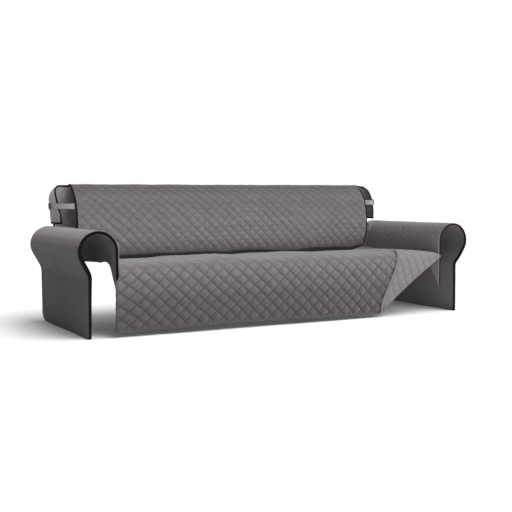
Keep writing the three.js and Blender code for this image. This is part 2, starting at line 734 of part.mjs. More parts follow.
for (const side of ["left", "right"]) {
  const isLeft = side === "left";
  const onSide = (geometry) => (isLeft ? mirrored(geometry) : geometry);
  const panel = armPanel(isLeft ? -1 : 1);
  add(`arm_panel_${side}`, onSide(panel.geometry), COLORS.arm, 0.9);
  add(`arm_band_${side}`, onSide(armBand(panel, side)), COLORS.dark, 0.8);
  add(`back_tape_${side}`, backTape(side), COLORS.dark, 0.8);
  add(`end_strap_${side}`, onSide(endStrap(side, STRAP_HEIGHT[side])), COLORS.strap, 0.8);
  const slider = strapSlider(side, STRAP_HEIGHT[side], SLIDER_DEPTH[side]);
  add(`strap_slider_${side}`, onSide(slider), COLORS.slider, 0.4);
}

cover.position.set(0, -ORIGIN_SETBACK, -FLOOR_CLEARANCE);

export default cover;
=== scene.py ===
# %% [markdown]
# # A quilted slip-on sofa cover
# The object is a soft grey fitted cover, wide and with rolled arms, seen as it hangs in use. Its
# solids come from the part's own source, and this lesson dresses them as cloth: quilted panels that
# swell between their stitches, dark elastic edges, grey straps and small plastic sliders. Every
# length is in metres, with +X to the right, +Y to the back and the floor at zero.

# %% The packed solids
import math

import bpy
import numpy as np
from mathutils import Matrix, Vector, noise


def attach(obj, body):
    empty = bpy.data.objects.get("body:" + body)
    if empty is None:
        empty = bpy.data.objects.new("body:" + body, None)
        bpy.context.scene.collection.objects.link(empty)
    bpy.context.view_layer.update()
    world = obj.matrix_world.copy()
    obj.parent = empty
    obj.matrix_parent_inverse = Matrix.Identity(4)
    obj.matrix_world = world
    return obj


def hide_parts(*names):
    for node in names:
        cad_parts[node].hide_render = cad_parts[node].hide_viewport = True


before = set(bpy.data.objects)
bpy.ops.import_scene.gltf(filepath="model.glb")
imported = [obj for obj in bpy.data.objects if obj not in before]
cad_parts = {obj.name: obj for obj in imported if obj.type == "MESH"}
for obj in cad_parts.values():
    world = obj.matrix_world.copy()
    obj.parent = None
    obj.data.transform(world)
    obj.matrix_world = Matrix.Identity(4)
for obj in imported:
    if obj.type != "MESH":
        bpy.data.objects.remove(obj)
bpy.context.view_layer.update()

# %% [markdown]
# ## Camera
# The view is the one of the photograph: low, from the front left, with a long lens, so the far arm
# is only a little smaller than the near one. The place, the turn and the lens were worked out from
# the floor line, the upright edges of the arms and the level seat, and are given as numbers.

# %% Camera
def add_object(name, data):
    """A new object in the scene for a camera, a lamp or a mesh."""
    made = bpy.data.objects.new(name, data)
    bpy.context.scene.collection.objects.link(made)
    return made


camera = add_object("camera", bpy.data.cameras.new("camera"))
camera.location = (-2.99565, -5.45225, 0.83606)
camera.rotation_euler = (math.radians(90 - 4.02), 0, math.radians(-28.75))
camera.data.sensor_width = 36
camera.data.lens = 65.3
camera.data.clip_end = 200
bpy.context.scene.camera = camera
print("camera stands", round(-camera.location.y, 2), "m in front of the cover's middle")

# %% [markdown]
# ## Lamps
# A studio photograph of such a cover has a white ground, a big soft lamp high at the front right and
# a weaker one in front. A sun lamp with a wide angle stands in for the first: its light is even over
# the whole length of the cover and its shadows are soft. A square area lamp stands in for the
# second. The plain view transform keeps the greys as they are mixed.

# %% Lamps
def aimed(direction):
    """The turn of a lamp that shines along a direction."""
    return Vector(direction).to_track_quat("-Z", "Y").to_euler()


bpy.context.scene.view_settings.view_transform = "Standard"
key = add_object("key", bpy.data.lights.new("key", "SUN"))
key.data.energy = 2.6
key.data.angle = math.radians(50)
key.rotation_euler = aimed((-2.2, 2.4, -5.8))

fill = add_object("fill", bpy.data.lights.new("fill", "AREA"))
fill.data.shape = "SQUARE"
fill.data.size = 3.0
fill.data.energy = 25
fill.location = (-1.0, -6.0, 3.6)
fill.rotation_euler = aimed(Vector((0.4, 0.0, 0.5)) - fill.location)
print("lamps:", [lamp.name for lamp in (key, fill)])

# %% [markdown]
# ## A way to write patterns
# Cloth patterns are sums and products of numbers that change over a surface. This class wraps one
# output of a material's nodes, so that a sum written in Python adds the Math nodes for it. Any other
# kind of node comes from its one method `node`, which sets the node's options first and its inputs
# afterwards.

# %% A way to write patterns
class Value:
    """Something that changes over a surface: a number, a place or a colour."""

    def __init__(self, tree, socket=None):
        self.tree = tree
        self.socket = socket

    def node(self, kind, options=None, inputs=None, output=0):
        """The output of a new node, after its options and its inputs are set."""
        made = self.tree.nodes.new(kind)
        for name, value in (options or {}).items():
            setattr(made, name, value)
        for name, value in (inputs or {}).items():
            if isinstance(value, Value):
                self.tree.links.new(value.socket, made.inputs[name])
            else:
                made.inputs[name].default_value = value
        return Value(self.tree, made.outputs[output] if len(made.outputs) else None)

    def math(self, operation, *others):
        """A Math node on this number and others."""
        values = {n: value for n, value in enumerate((self, *others))}
        return self.node("ShaderNodeMath", {"operation": operation}, values)

    def __add__(self, other):
        return self.math("ADD", other)

    __radd__ = __add__

    def __sub__(self, other):
        return self.math("SUBTRACT", other)

    def __rsub__(self, other):
        return (self * -1) + other

    def __mul__(self, other):
        return self.math("MULTIPLY", other)

    __rmul__ = __mul__

    def __truediv__(self, other):
        return self.math("DIVIDE", other)

    def between(self, low, high):
        """0 below low, 1 above high and a soft step between them."""
        options = {"interpolation_type": "SMOOTHSTEP"}
        return self.node(
            "ShaderNodeMapRange", options, {"Value": self, "From Min": low, "From Max": high}
        )

    def mixed(self, first, second):
        """The first colour where this number is 0, and the second where it is 1."""
        return self.node(
            "ShaderNodeMix", {"data_type": "RGBA"}, {0: self, 6: first, 7: second}, output=2
        )


print("a pattern can use", [name for name in vars(Value) if not name.startswith("__")])

# %% [markdown]
# ## Colours and surfaces
# Every finish here ends the same way: a Principled surface with a colour that is made lighter or
# darker from place to place, a roughness, and a relief that the Bump node turns into slopes. Colours
# are chosen as screen values and turned into light first, because that is what a material mixes.

# %% Colours and surfaces
BRIGHTEST = 1.6


def to_light(*srgb):
    """A colour given in screen values from 0 to 255, as the light that a material works with."""
    shares = [value / 255 for value in srgb]
    return tuple(v / 12.92 if v < 0.04045 else ((v + 0.055) / 1.055) ** 2.4 for v in shares)


def lit(light, colour):
    """A colour made lighter or darker by a number round 1, up to BRIGHTEST."""
    bright = tuple(BRIGHTEST * part for part in colour)
    return (light / BRIGHTEST).mixed((0.0, 0.0, 0.0, 1.0), (*bright, 1.0))


def new_material(name):
    """An empty material and the start of its pattern."""
    material = bpy.data.materials.new(name)
    material.use_nodes = True
    material.node_tree.nodes.clear()
    return material, Value(material.node_tree)


def close_material(start, colour, roughness, height, distance, **constants):
    """The surface with its colour, roughness and relief; a height of 1 is as high as distance."""
    relief = start.node(
        "ShaderNodeBump", inputs={"Strength": 1.0, "Distance": distance, "Height": height}
    )
    inputs = {"Base Color": colour, "Roughness": roughness, "Normal": relief}
    inputs.update({name.replace("_", " "): value for name, value in constants.items()})
    surface = start.node("ShaderNodeBsdfPrincipled", inputs=inputs)
    start.node("ShaderNodeOutputMaterial", inputs={"Surface": surface})


print("the middle grey of a screen, as light:", round(to_light(128)[0], 3))

# %% [markdown]
# ## Floor and room
# The cover stands on a pale floor that runs far out, so that none of its edges is seen. The room is
# bright on the right and dim on the left, so that the faces of the cloth that look to the left turn
# out darkest, as they do in the photograph. What the camera sees past the floor stays plain white:
# the Light Path node tells its own view apart from the light that falls on the cloth.

# %% Floor
FLOOR_REACH = 60
bpy.ops.object.select_all(action="DESELECT")
bpy.ops.mesh.primitive_plane_add(size=2 * FLOOR_REACH)
floor = bpy.context.active_object
floor.name = "floor"

floor_finish, start = new_material("pale_floor")
spot = start.node("ShaderNodeTexCoord", output=3)
cloud = start.node("ShaderNodeTexNoise", inputs={"Vector": spot, "Scale": 3.0})
shade = cloud.mixed((0.93, 0.93, 0.93, 1.0), (0.95, 0.95, 0.95, 1.0))
close_material(start, shade, 0.85, cloud, 0.0002)
floor.data.materials.append(floor_finish)
print("floor", floor.dimensions.x, "m wide, finished with", floor_finish.name)

# %% The room round the cover
DIM, BRIGHT = 0.18, 0.98
world = bpy.data.worlds.new("studio")
world.use_nodes = True
bpy.context.scene.world = world
room = Value(world.node_tree)
direction = room.node("ShaderNodeTexCoord", output=0)
to_right = room.node("ShaderNodeSeparateXYZ", inputs={"Vector": direction}, output=0)
seen = room.node("ShaderNodeLightPath", output=0)
room_light = to_right.between(-1.0, 0.9) * (BRIGHT - DIM) + DIM
strength = seen * 1.0 + (1 - seen) * room_light
world_light = world.node_tree.nodes["Background"]
world_light.inputs["Color"].default_value = (1.0, 1.0, 1.0, 1.0)
world.node_tree.links.new(strength.socket, world_light.inputs["Strength"])
print("room light from", DIM, "at the left to", BRIGHT, "at the right")

# %% [markdown]
# ## Quilted cloth
# The cover is a brushed cloth with a thin filling, stitched through in crossing lines that leave
# diamonds. A picture of cloth would be too coarse for single stitches, and a pattern fixed in the
# room would slide over the bends. The lines are worked out instead from the cloth's own flat places,
# kept in a UV map in metres, so that they follow the cloth wherever it goes. Two sets of crossing
# lines are counted one by one, and each count tells how far the nearest line is.

# %% Stitch lines
SEAT_PITCH = (0.042022, 0.038952)
BACK_PITCH = (0.0357, 0.0332)


def flat_place(start):
    """The flat place of the cloth under a point, and its two numbers in metres."""
    place = start.node("ShaderNodeUVMap", {"uv_map": "cloth"})
    across = start.node("ShaderNodeSeparateXYZ", inputs={"Vector": place}, output=0)
    along = start.node("ShaderNodeSeparateXYZ", inputs={"Vector": place}, output=1)
    return place, across, along


def line_distance(count, reach):
    """How far a point is from the nearest line of a set, where counts lie reach apart."""
    return ((count * 0.5).math("FRACT") - 0.5).math("ABSOLUTE") * (2 * reach)


def near(value, middle, half):
    """1 at a line, falling to 0 at half its width away."""
    return 1 - (value - middle).math("ABSOLUTE").between(half * 0.4, half)


print("diamonds of the seat, in mm:", [round(2000 * half) for half in SEAT_PITCH])

# %% [markdown]
# ## Nap and painted light
# Brushed cloth is never one even grey: the nap lies this way and that, and where it is stroked up
# the cloth looks lighter. Noise in three sizes gives blotches, nap and single fibres. Along each
# panel, light and shade are also painted into the colour, as the cloth turns towards the light or
# away from it, more than lamps alone would make it. A short table of places and lightnesses along
# the panel says how, and each stretch of it becomes one soft step.

# %% Nap and painted light
def noise_of(start, place, scale, detail, roughness):
    """Soft random unevenness round zero."""
    inputs = {"Vector": place, "Scale": scale, "Detail": detail, "Roughness": roughness}
    return start.node("ShaderNodeTexNoise", inputs=inputs) - 0.5


def painted_shading_along(value, steps):
    """Painted light and shade along a cloth, through pairs of place and lightness."""
    light = steps[0][1]
    for (low, before), (high, after) in zip(steps, steps[1:]):
        light = light + value.between(low, high) * (after - before)
    return light


NAP_SIZES = {"blotches": 9.0, "nap": 55.0, "fibres": 620.0}
print("noise of the cloth:", {name: f"about {1000 / size:.0f} mm" for name, size in NAP_SIZES.items()})

# %% [markdown]
# ## The quilted finish
# Near a stitch line the relief falls, as the filling is pressed together there, and the colour
# darkens as painted shade in the groove. On the line lies the thread, whose stitches are a wave
# along it. Each panel says for itself where its lines and its seam show, how strong they are and
# how much painted light and shade lies along it, so one function makes the finish of the seat, the
# back, the arms and their reverses. A little sheen is the light that catches in the nap.

# %% The quilted finish
STITCH_LENGTH = 0.0042
THREAD_NEAR, THREAD_FAR = 0.0006, 0.0019
GROOVE_HALF = 0.0120


def quilted_material(
    name, pitch, colour, relief, dark, grain, sheen, quilted, seam, painted_shading=None, second_apart=0.0
):
    """Brushed cloth, with its lines, its seam and its painted light and shade given by the panel."""
    material, start = new_material(name)
    place, across, along = flat_place(start)
    reach = 1 / math.hypot(1 / pitch[0], 1 / pitch[1])
    to_first = line_distance(across / pitch[0] + along / pitch[1], reach)
    to_second = line_distance(across / pitch[0] - along / pitch[1], reach) + second_apart
    nearest = to_first.math("MINIMUM", to_second)
    shown = quilted(across, along)
    on_seam = seam(across, along)
    on_thread = (1 - nearest.between(THREAD_NEAR, THREAD_FAR)) * shown
    in_groove = (1 - nearest.between(0.0, GROOVE_HALF)) * shown
    stitch = ((to_first + to_second) * (2 * math.pi / STITCH_LENGTH)).math("SINE") * on_thread
    blotches = noise_of(start, place, NAP_SIZES["blotches"], 3.0, 0.6)
    nap = noise_of(start, place, NAP_SIZES["nap"], 3.0, 0.6)
    fibres = noise_of(start, place, NAP_SIZES["fibres"], 2.0, 0.7)
    light = 1.0 + blotches * (0.5 * grain) + nap * (0.5 * grain) + fibres * (0.5 * grain)
    # in_groove * dark is painted shade in the groove between the diamonds.
    light = light - in_groove * dark - on_thread * (0.6 * dark) - on_seam * 0.3 + stitch * 0.05
    # Painted light and shade along the panel multiply the colour here.
    if painted_shading is not None:
        light = light * painted_shading(across, along)
    height = fibres * 0.16 + nap * 0.25 - in_groove * relief - on_thread * 0.3 + stitch * 0.1
    roughness = 0.9 + blotches * 0.08 - on_thread * 0.1
    close_material(
        start, lit(light, colour), roughness, height - on_seam * 0.8, 0.0020,
        Sheen_Weight=sheen, Sheen_Roughness=0.45, Specular_IOR_Level=0.25,
    )
    return material


print("stitches", 1000 * STITCH_LENGTH, "mm long in grooves", 2000 * GROOVE_HALF, "mm wide")

# %% [markdown]
# ## Shaping cloth from its flat cut
# A fitted sheet has no primitive to start from. It could be dropped over a form by a simulation, but
# then its edges and waves would lie by chance. So each panel is a grid of places on the flat cut,
# and each place is sent to where that bit of cloth hangs: along smooth curves through a few chosen
# points, with soft steps where one shape gives way to another. The profiles are drawn from the front
# of the arms backwards and a little above the floor, and are moved into the frame by SETBACK and
# CLEARANCE, as the solids are.

# %% Smooth curves
SETBACK = 0.4898
CLEARANCE = 0.0018


def smoothstep(x, low, high):
    """0 below low, 1 above high and a soft step between them, for numbers instead of nodes."""
    t = np.clip((np.asarray(x, float) - low) / (high - low), 0, 1)
    return t * t * (3 - 2 * t)


def follow(keys, values, x):
    """Smooth curve through a table's values, or through rows of places, at x."""
    keys, values, x = (np.asarray(v, float) for v in (keys, values, x))
    slopes = np.empty_like(values)
    run = keys.reshape((-1,) + (1,) * (values.ndim - 1))
    slopes[1:-1] = (values[2:] - values[:-2]) / (run[2:] - run[:-2])
    slopes[0] = (values[1] - values[0]) / (run[1] - run[0])
    slopes[-1] = (values[-1] - values[-2]) / (run[-1] - run[-2])
    x = np.clip(x, keys[0], keys[-1])
    n = np.clip(np.searchsorted(keys, x, side="right") - 1, 0, len(keys) - 2)
    span = keys[n + 1] - keys[n]
    t = (x - keys[n]) / span
    if values.ndim > 1:
        t = t[..., None]
        span = span[..., None]
    start = values[n] * (2 * t**3 - 3 * t**2 + 1) + slopes[n] * span * (t**3 - 2 * t**2 + t)
    end = values[n + 1] * (3 * t**2 - 2 * t**3) + slopes[n + 1] * span * (t**3 - t**2)
    return start + end


print("half way from 1 to 4, a curve that started at 0 is at", follow([0, 1, 2], [0, 1, 4], 1.5))

# %% Smooth lines
def run_along(points):
    """The running length at each point of a line."""
    steps = np.linalg.norm(np.diff(points, axis=0), axis=1)
    return np.concatenate([[0], np.cumsum(steps)])


def smooth_line(points, steps=40):
    """Finely divided smooth line through points, and the running length along it."""
    p = np.array(points, float)
    p = np.vstack([p[:1], p, p[-1:]])
    t = (np.arange(steps) / steps)[:, None]
    out = []
    for n in range(1, len(p) - 2):
        v0, v1 = (p[n + 1] - p[n - 1]) / 2, (p[n + 2] - p[n]) / 2
        bend = (2 * p[n] - 2 * p[n + 1] + v0 + v1) * t**3
        bend += (3 * p[n + 1] - 3 * p[n] - 2 * v0 - v1) * t**2
        out.append(bend + v0 * t + p[n])
    line = np.vstack([*out, p[-1:]])
    return line, run_along(line)


def walk(line, length, distance):
    """Places on a line at distances along it."""
    return np.stack([np.interp(distance, length, line[:, k]) for k in range(line.shape[1])], -1)


bend_run = smooth_line([(0, 0), (1, 0), (1, 1)])[1]
print("a smooth bend through three corners of a metre square is", round(bend_run[-1], 3), "m long")

# %% [markdown]
# ## The swell of quilting
# Between its stitches the filling lifts the cloth into a small cushion, flat on top and steep at
# its edges, and no two are filled alike. The swell is worked out from the same counts as the stitch
# lines of the finish, so the grooves of both lie on each other. In use the stitching is drawn a
# little out of line, which slow noise on the flat places gives to the swell and the finish alike.

# %% The swell of quilting
WAVER = 0.0075


def uneven(i, j):
    """Repeatable unevenness between 0 and 1 for a diamond."""
    return np.mod(np.sin(i * 12.9898 + j * 78.233) * 43758.5453, 1.0)


def soft_noise(points, scale, seed=0.0):
    """Smooth unevenness about zero for rows of places."""
    rows = np.asarray(points, float).reshape(-1, np.shape(points)[-1]) * scale + seed
    flat = [noise.noise(Vector((*row, 0.0)[:3])) for row in rows]
    return np.array(flat).reshape(np.shape(points)[:-1])


def swell_of(flat, pitch):
    """Height of quilted cloth from 0 on its stitch lines to about 1 in the middle of a diamond."""
    first = flat[..., 0] / pitch[0] + flat[..., 1] / pitch[1]
    second = flat[..., 0] / pitch[0] - flat[..., 1] / pitch[1]
    mid_first, mid_second = 2 * np.round(first / 2), 2 * np.round(second / 2)
    rise = (1 - np.abs(first - mid_first) ** 2.4) * (1 - np.abs(second - mid_second) ** 2.4)
    filling = uneven((mid_first + mid_second) / 2, (mid_first - mid_second) / 2)
    return np.clip(rise, 0, 1) * (0.7 + 0.5 * filling)


def drawn(flat, seed):
    """Flat places with the slow waver that the stitching gets when the cloth is drawn and worn."""
    waver = [
        soft_noise(flat, 3.1, seed + k) + 0.4 * soft_noise(flat, 8.3, seed + k + 2)
        for k in (0.0, 31.0)
    ]
    return flat + WAVER * np.stack(waver, -1)


middle_swell = swell_of(np.array([0.0, 0.0]), SEAT_PITCH)
print("swell in the middle of the first diamond:", round(float(middle_swell), 2))

# %% [markdown]
# ## Sheets from grids
# A grid of places becomes a mesh with two triangles a cell. The triangles are turned so that their
# long edges lie along the stitch lines, which keeps the grooves sharp with few faces. The flat
# places go with the mesh as its UV map and the swell as an attribute, so both stay with their bits
# of cloth when grids are sewn together. Cells that the cut leaves out get no faces.

# %% Sheets from grids
CELLS = 4


def add_grid(name, points, flat, swell, keep=None, turned=False):
    """A grid of cloth places as a mesh object, with its flat places and its swell kept on it."""
    n, m = points.shape[0], points.shape[1]
    index = np.arange(n * m).reshape(n, m)
    faces = []
    for i in range(n - 1):
        for j in range(m - 1):
            if keep is not None and not keep[i, j]:
                continue
            p, q, r, s = index[i, j], index[i + 1, j], index[i + 1, j + 1], index[i, j + 1]
            if (i // CELLS + j // CELLS) % 2 == 0:
                faces += [(p, q, s), (q, r, s)]
            else:
                faces += [(p, q, r), (p, r, s)]
    if turned:
        faces = [face[::-1] for face in faces]
    mesh = bpy.data.meshes.new(name)
    mesh.from_pydata(points.reshape(-1, 3).tolist(), [], faces)
    corner = np.zeros(len(mesh.loops), int)
    mesh.loops.foreach_get("vertex_index", corner)
    flat_map = mesh.uv_layers.new(name="cloth")
    flat_map.data.foreach_set("uv", flat.reshape(-1, 2)[corner].astype(np.float32).ravel())
    swells = mesh.attributes.new("swell", "FLOAT", "POINT")
    swells.data.foreach_set("value", swell.astype(np.float32).ravel())
    return add_object(name, mesh)


print("grid cells from one stitch crossing to the next:", CELLS)

# %% Sewing
MERGE_WITHIN = 0.00002


def only(*pieces):
    """Deselects everything but these pieces, and makes the first the active one."""
    bpy.ops.object.select_all(action="DESELECT")
    for piece in pieces:
        piece.select_set(True)
    bpy.context.view_layer.objects.active = pieces[0]


def sew(pieces):
    """Joins grids that meet along an edge into one cloth, without the places no face uses."""
    only(*pieces)
    if len(pieces) > 1:
        bpy.ops.object.join()
    bpy.ops.object.mode_set(mode="EDIT")
    bpy.ops.mesh.select_all(action="SELECT")
    bpy.ops.mesh.remove_doubles(threshold=MERGE_WITHIN)
    bpy.ops.mesh.delete_loose()
    bpy.ops.object.mode_set(mode="OBJECT")
    return pieces[0]


print("edges nearer than", 1000 * MERGE_WITHIN, "mm are sewn together")

# %% [markdown]
# ## Filling and thickness
# A quilted panel is two cloths with wadding between them. The wadding is given first: every point is
# pushed out along its normal by the swell kept on it. Then a Solidify modifier, which is applied,
# adds the reverse of the cloth inside and closes its edges, and puts a second finish on the reverse,
# which the real cloth shows where a corner is folded back.

# %% Filling and thickness
CLOTH = 0.003


def fill_quilting(piece):
    """Pushes the cloth out along its normals by the swell kept on it."""
    mesh = piece.data
    count = len(mesh.vertices)
    places, normals, swell = np.zeros(count * 3), np.zeros(count * 3), np.zeros(count)
    mesh.vertices.foreach_get("co", places)
    mesh.vertex_normals.foreach_get("vector", normals)
    mesh.attributes["swell"].data.foreach_get("value", swell)
    mesh.vertices.foreach_set("co", places + normals * np.repeat(swell, 3))
    mesh.attributes.remove(mesh.attributes["swell"])
    mesh.update()


def box_of(piece):
    """The lowest and the highest corner of a piece, to the millimetre."""
    corners = np.array([v.co for v in piece.data.vertices])
    return corners.min(0).round(3).tolist(), corners.max(0).round(3).tolist()


def give_thickness(piece, face, reverse):
    """Two finishes and a Solidify modifier, which is applied; the rim keeps the face's finish."""
    piece.data.materials.append(face)
    piece.data.materials.append(reverse)
    only(piece)
    solidify = piece.modifiers.new("thickness", "SOLIDIFY")
    solidify.thickness = CLOTH
    solidify.offset = -1.0
    solidify.material_offset = 1
    bpy.ops.object.modifier_apply(modifier=solidify.name)
    bpy.ops.object.shade_smooth()
    low, high = box_of(piece)
    print(piece.name, "faces", len(piece.data.polygons), "from", low, "to", high)


print("quilted cloth is", 1000 * CLOTH, "mm thick at its stitches")

# %% [markdown]
# ## Seat panel
# One cloth covers the seat and hangs over its front down to a hem. It is cut straight, so its flat
# places are simply x across and the distance up from the hem. Its profile, drawn from the side,
# goes up the drop, over the rounded crest and back to the crease where the back panel starts.

# %% Profile of the seat
SEAT_LINE, SEAT_RUN = smooth_line(
    [
        (-0.004, 0.030), (-0.010, 0.120), (-0.014, 0.220), (-0.013, 0.310), (-0.008, 0.360),
        (0.006, 0.402), (0.045, 0.430), (0.110, 0.441), (0.200, 0.445), (0.300, 0.445),
        (0.516, 0.437), (0.700, 0.425), (0.8653, 0.413),
    ]
)
SEAT_LENGTH = SEAT_RUN[-1]
SEAT_HALF = 1.1556
print("seat cloth from hem to crease:", round(SEAT_LENGTH, 3), "m, half as wide as", SEAT_HALF)

# %% [markdown]
# ## Waves of the seat
# The real cloth isn't level: it sags between the places where it is pulled, and its hem hangs a
# little unevenly. Noise would put these waves anywhere, and the photograph shows where they lie, so
# short tables across the seat give them, and soft steps bring them in where they start. Between the
# arms the seat also sinks towards its rear. There the crease sinks with the waves, along the slope
# of the back, so that the back panel meets the seat without a gap.

# %% Waves of the seat
WAVES_X = (-1.156, -0.88, -0.70, -0.48, -0.08, 0.11, 0.47, 0.70, 0.88, 1.02, 1.156)
WAVES_RISE = (-0.022, -0.018, -0.020, -0.007, -0.021, -0.008, -0.022, -0.015, -0.014, -0.020, -0.030)
HEM_X = (-1.182, -1.08, -0.926, -0.767, -0.457, -0.05, 0.354, 0.652, 1.182)
HEM_Z = (0.030, 0.032, 0.038, 0.036, 0.042, 0.035, 0.030, 0.026, 0.026)
HEM_FADES = 0.3
WAVE_FROM, WAVE_TO = 0.33, 0.52
RIPPLE_HIGH = 0.003
CREASE_SLOPE = -0.513
CREASE_RUN = 0.26
SINK = 0.011
SINK_FROM, SINK_TO = 0.56, 0.30


def between_arms(x):
    """1 across the seat, falling to 0 beside the arms."""
    return 1 - smoothstep(np.abs(x), 1.0, 1.13)


def crease_sag(x):
    """How far the crease lies above its profile: it sinks with the seat's waves and its rear."""
    return (follow(WAVES_X, WAVES_RISE, x) - SINK) * between_arms(x)


print("the crease sinks", [round(-1000 * float(crease_sag(x))) for x in (-0.9, 0.0, 0.9)], "mm")

# %% Where the seat's cloth hangs
def unit(rows):
    """Directions of length one."""
    rows = np.asarray(rows, float)
    return rows / np.maximum(np.linalg.norm(rows, axis=-1, keepdims=True), 1e-12)


def seat_place(x, up):
    """Where the seat's cloth lies, for a place across it and a distance up from its hem."""
    x, up = np.broadcast_arrays(np.asarray(x, float), np.asarray(up, float))
    line = walk(SEAT_LINE, SEAT_RUN, np.clip(up, 0, SEAT_LENGTH))
    near_hem = 1 - smoothstep(up, 0, HEM_FADES)
    near_crease = smoothstep(up, SEAT_LENGTH - CREASE_RUN, SEAT_LENGTH)
    at_rear = smoothstep(up, SEAT_LENGTH - SINK_FROM, SEAT_LENGTH - SINK_TO)
    wave = follow(WAVES_X, WAVES_RISE, x) * smoothstep(up, WAVE_FROM, WAVE_TO)
    sunk = wave - SINK * at_rear * between_arms(x)
    sag = sunk + (crease_sag(x) - sunk) * near_crease
    back = CREASE_SLOPE * crease_sag(x) * near_crease
    hem = (follow(HEM_X, HEM_Z, x) - SEAT_LINE[0, 1]) * near_hem
    ripple = RIPPLE_HIGH * np.sin(x / 0.15) * (1 - smoothstep(up, 0.15, 0.38))
    height = line[..., 1] + sag + hem + np.minimum(up, 0) - CLEARANCE
    return np.stack([x, line[..., 0] - ripple + back - SETBACK, height], -1)


def seat_normal(x, up):
    """The direction that the seat's cloth faces."""
    across = seat_place(x + 0.001, up) - seat_place(x - 0.001, up)
    along = seat_place(x, up + 0.001) - seat_place(x, up - 0.001)
    return unit(np.cross(across, along))


print("the middle of the hem is at", seat_place(0, 0).round(3), "facing", seat_normal(0, 0).round(2))

# %% [markdown]
# ## The folded corner
# The lower right corner is folded up over the drop and shows the reverse. A fold is a mirror: each
# place beyond the fold line goes to its mirror image, and the cloth turns round in a small half
# circle along the line, which lifts it by the circle's height. The line is a little bowed, so the
# cloth next to it follows the bow and only the rest is mirrored in the straight line. It starts on
# the hem and ends on the side edge, a little above the corner of the arm. The fold is worked out in
# flat places, so the drop's own shape carries the folded corner as well.

# %% Where the fold lies
FOLD_BOW = 0.017
MIRROR_SLOPE = math.radians(33.8)
ARM_CORNER_Z, FOLD_END_Z = 0.349, 0.386


def height_up(x, z):
    """The distance up from the hem at which the cloth's edge reaches a height."""
    up = np.linspace(0, 0.42, 421)
    return float(np.interp(z, seat_place(x, up)[:, 2] + CLEARANCE, up))


CORNER_UP = height_up(SEAT_HALF, ARM_CORNER_Z)
FOLD_UP = height_up(SEAT_HALF, FOLD_END_Z)
FOLD_FROM = np.array([0.645, 0.0])
FOLD_TO = np.array([SEAT_HALF, FOLD_UP])
MIRROR = np.array([math.cos(MIRROR_SLOPE), math.sin(MIRROR_SLOPE)])
chord = (FOLD_TO - FOLD_FROM) / np.linalg.norm(FOLD_TO - FOLD_FROM)
shares = np.linspace(-0.06, 1.04, 400)[:, None]
FOLD_LINE = FOLD_FROM + (FOLD_TO - FOLD_FROM) * shares
FOLD_LINE = FOLD_LINE + np.array([-chord[1], chord[0]]) * FOLD_BOW * 4 * shares * (1 - shares)
FOLD_OUT = np.gradient(FOLD_LINE, axis=0)[:, ::-1] * (1, -1)
FOLD_OUT /= np.linalg.norm(FOLD_OUT, axis=1, keepdims=True)
print("the fold runs from", FOLD_FROM.tolist(), "to", FOLD_TO.round(3).tolist(), "on the flat cloth")

# %% Folding the cloth
FOLD_RADIUS = 0.0045


def fold_up_at(x):
    """The distance up from the hem at which the fold crosses a place across the seat."""
    return np.clip(np.interp(x, FOLD_LINE[:, 0], FOLD_LINE[:, 1]), 0, None)


def folded(flat):
    """Flat places beyond the fold: where they lie on the drop, how far above it, and their turn."""
    gaps = np.linalg.norm(flat[:, None] - FOLD_LINE[None], axis=2)
    nearest = gaps.argmin(1)
    out = FOLD_OUT[nearest]
    beyond = np.clip(((flat - FOLD_LINE[nearest]) * out).sum(1), 0, None)[:, None]
    turn = np.minimum(beyond / FOLD_RADIUS, math.pi)
    over = np.maximum(beyond - math.pi * FOLD_RADIUS, 0)
    bowed = FOLD_LINE[nearest] + out * (FOLD_RADIUS * np.sin(turn) - over)
    apart = flat - FOLD_FROM
    straight = 2 * (apart @ MIRROR)[:, None] * MIRROR - apart + FOLD_FROM
    share = smoothstep(beyond, 0.02, 0.18)
    laid = bowed * (1 - share) + straight * share
    return laid, FOLD_RADIUS * (1 - np.cos(turn[:, 0])), turn[:, 0]


laid, lift, turn = folded(np.array([[SEAT_HALF, 0.0]]))
print("the cut corner comes to", laid[0].round(3), "on the drop,", 1000 * lift[0], "mm above it")
print("and is turned by", round(math.degrees(turn[0])), "degrees")

# %% [markdown]
# ## Finish of the seat
# The seat's face is the darker side of the cloth, with deep grooves on the drop that fade on top,
# where sitting has pressed the cloth smooth. Its reverse is lighter, with one of the two sets of
# lines showing less. A plain seam follows the hem. Light and shade are painted along the seat: it
# is lightest on the rounded crest, which faces the lamp, and darker towards the hem and the crease.

# %% Finish of the seat
SEAM_IN, SEAM_HALF = 0.014, 0.0018
# Painted light and shade along the seat, from the hem to the crease.
SEAT_PAINTED_LIGHT = (
    (0.02, 0.66), (0.16, 0.78), (0.25, 1.06), (0.34, 1.33), (0.385, 1.12), (0.45, 0.76), (0.60, 0.82),
)


def off_the_hem(along):
    """0 in the hem, which has no stitch lines, and 1 above it."""
    return along.between(0.006, 0.02)


seat_fabric = quilted_material(
    "brushed_seat_cloth", SEAT_PITCH, to_light(97, 92, 95), 1.1, 0.26, 0.5, 0.6,
    quilted=lambda across, along: off_the_hem(along) * (1 - along.between(0.32, 0.40) * 0.75),
    seam=lambda across, along: near(along, SEAM_IN, SEAM_HALF),
    painted_shading=lambda across, along: painted_shading_along(along, SEAT_PAINTED_LIGHT),
)
reverse_fabric = quilted_material(
    "light_reverse_cloth", SEAT_PITCH, to_light(128, 124, 125), 0.6, 0.15, 0.35, 0.1,
    quilted=lambda across, along: off_the_hem(along),
    seam=lambda across, along: near(along, SEAM_IN, SEAM_HALF),
    second_apart=0.004,
)
print("finishes of the seat:", seat_fabric.name, reverse_fabric.name)

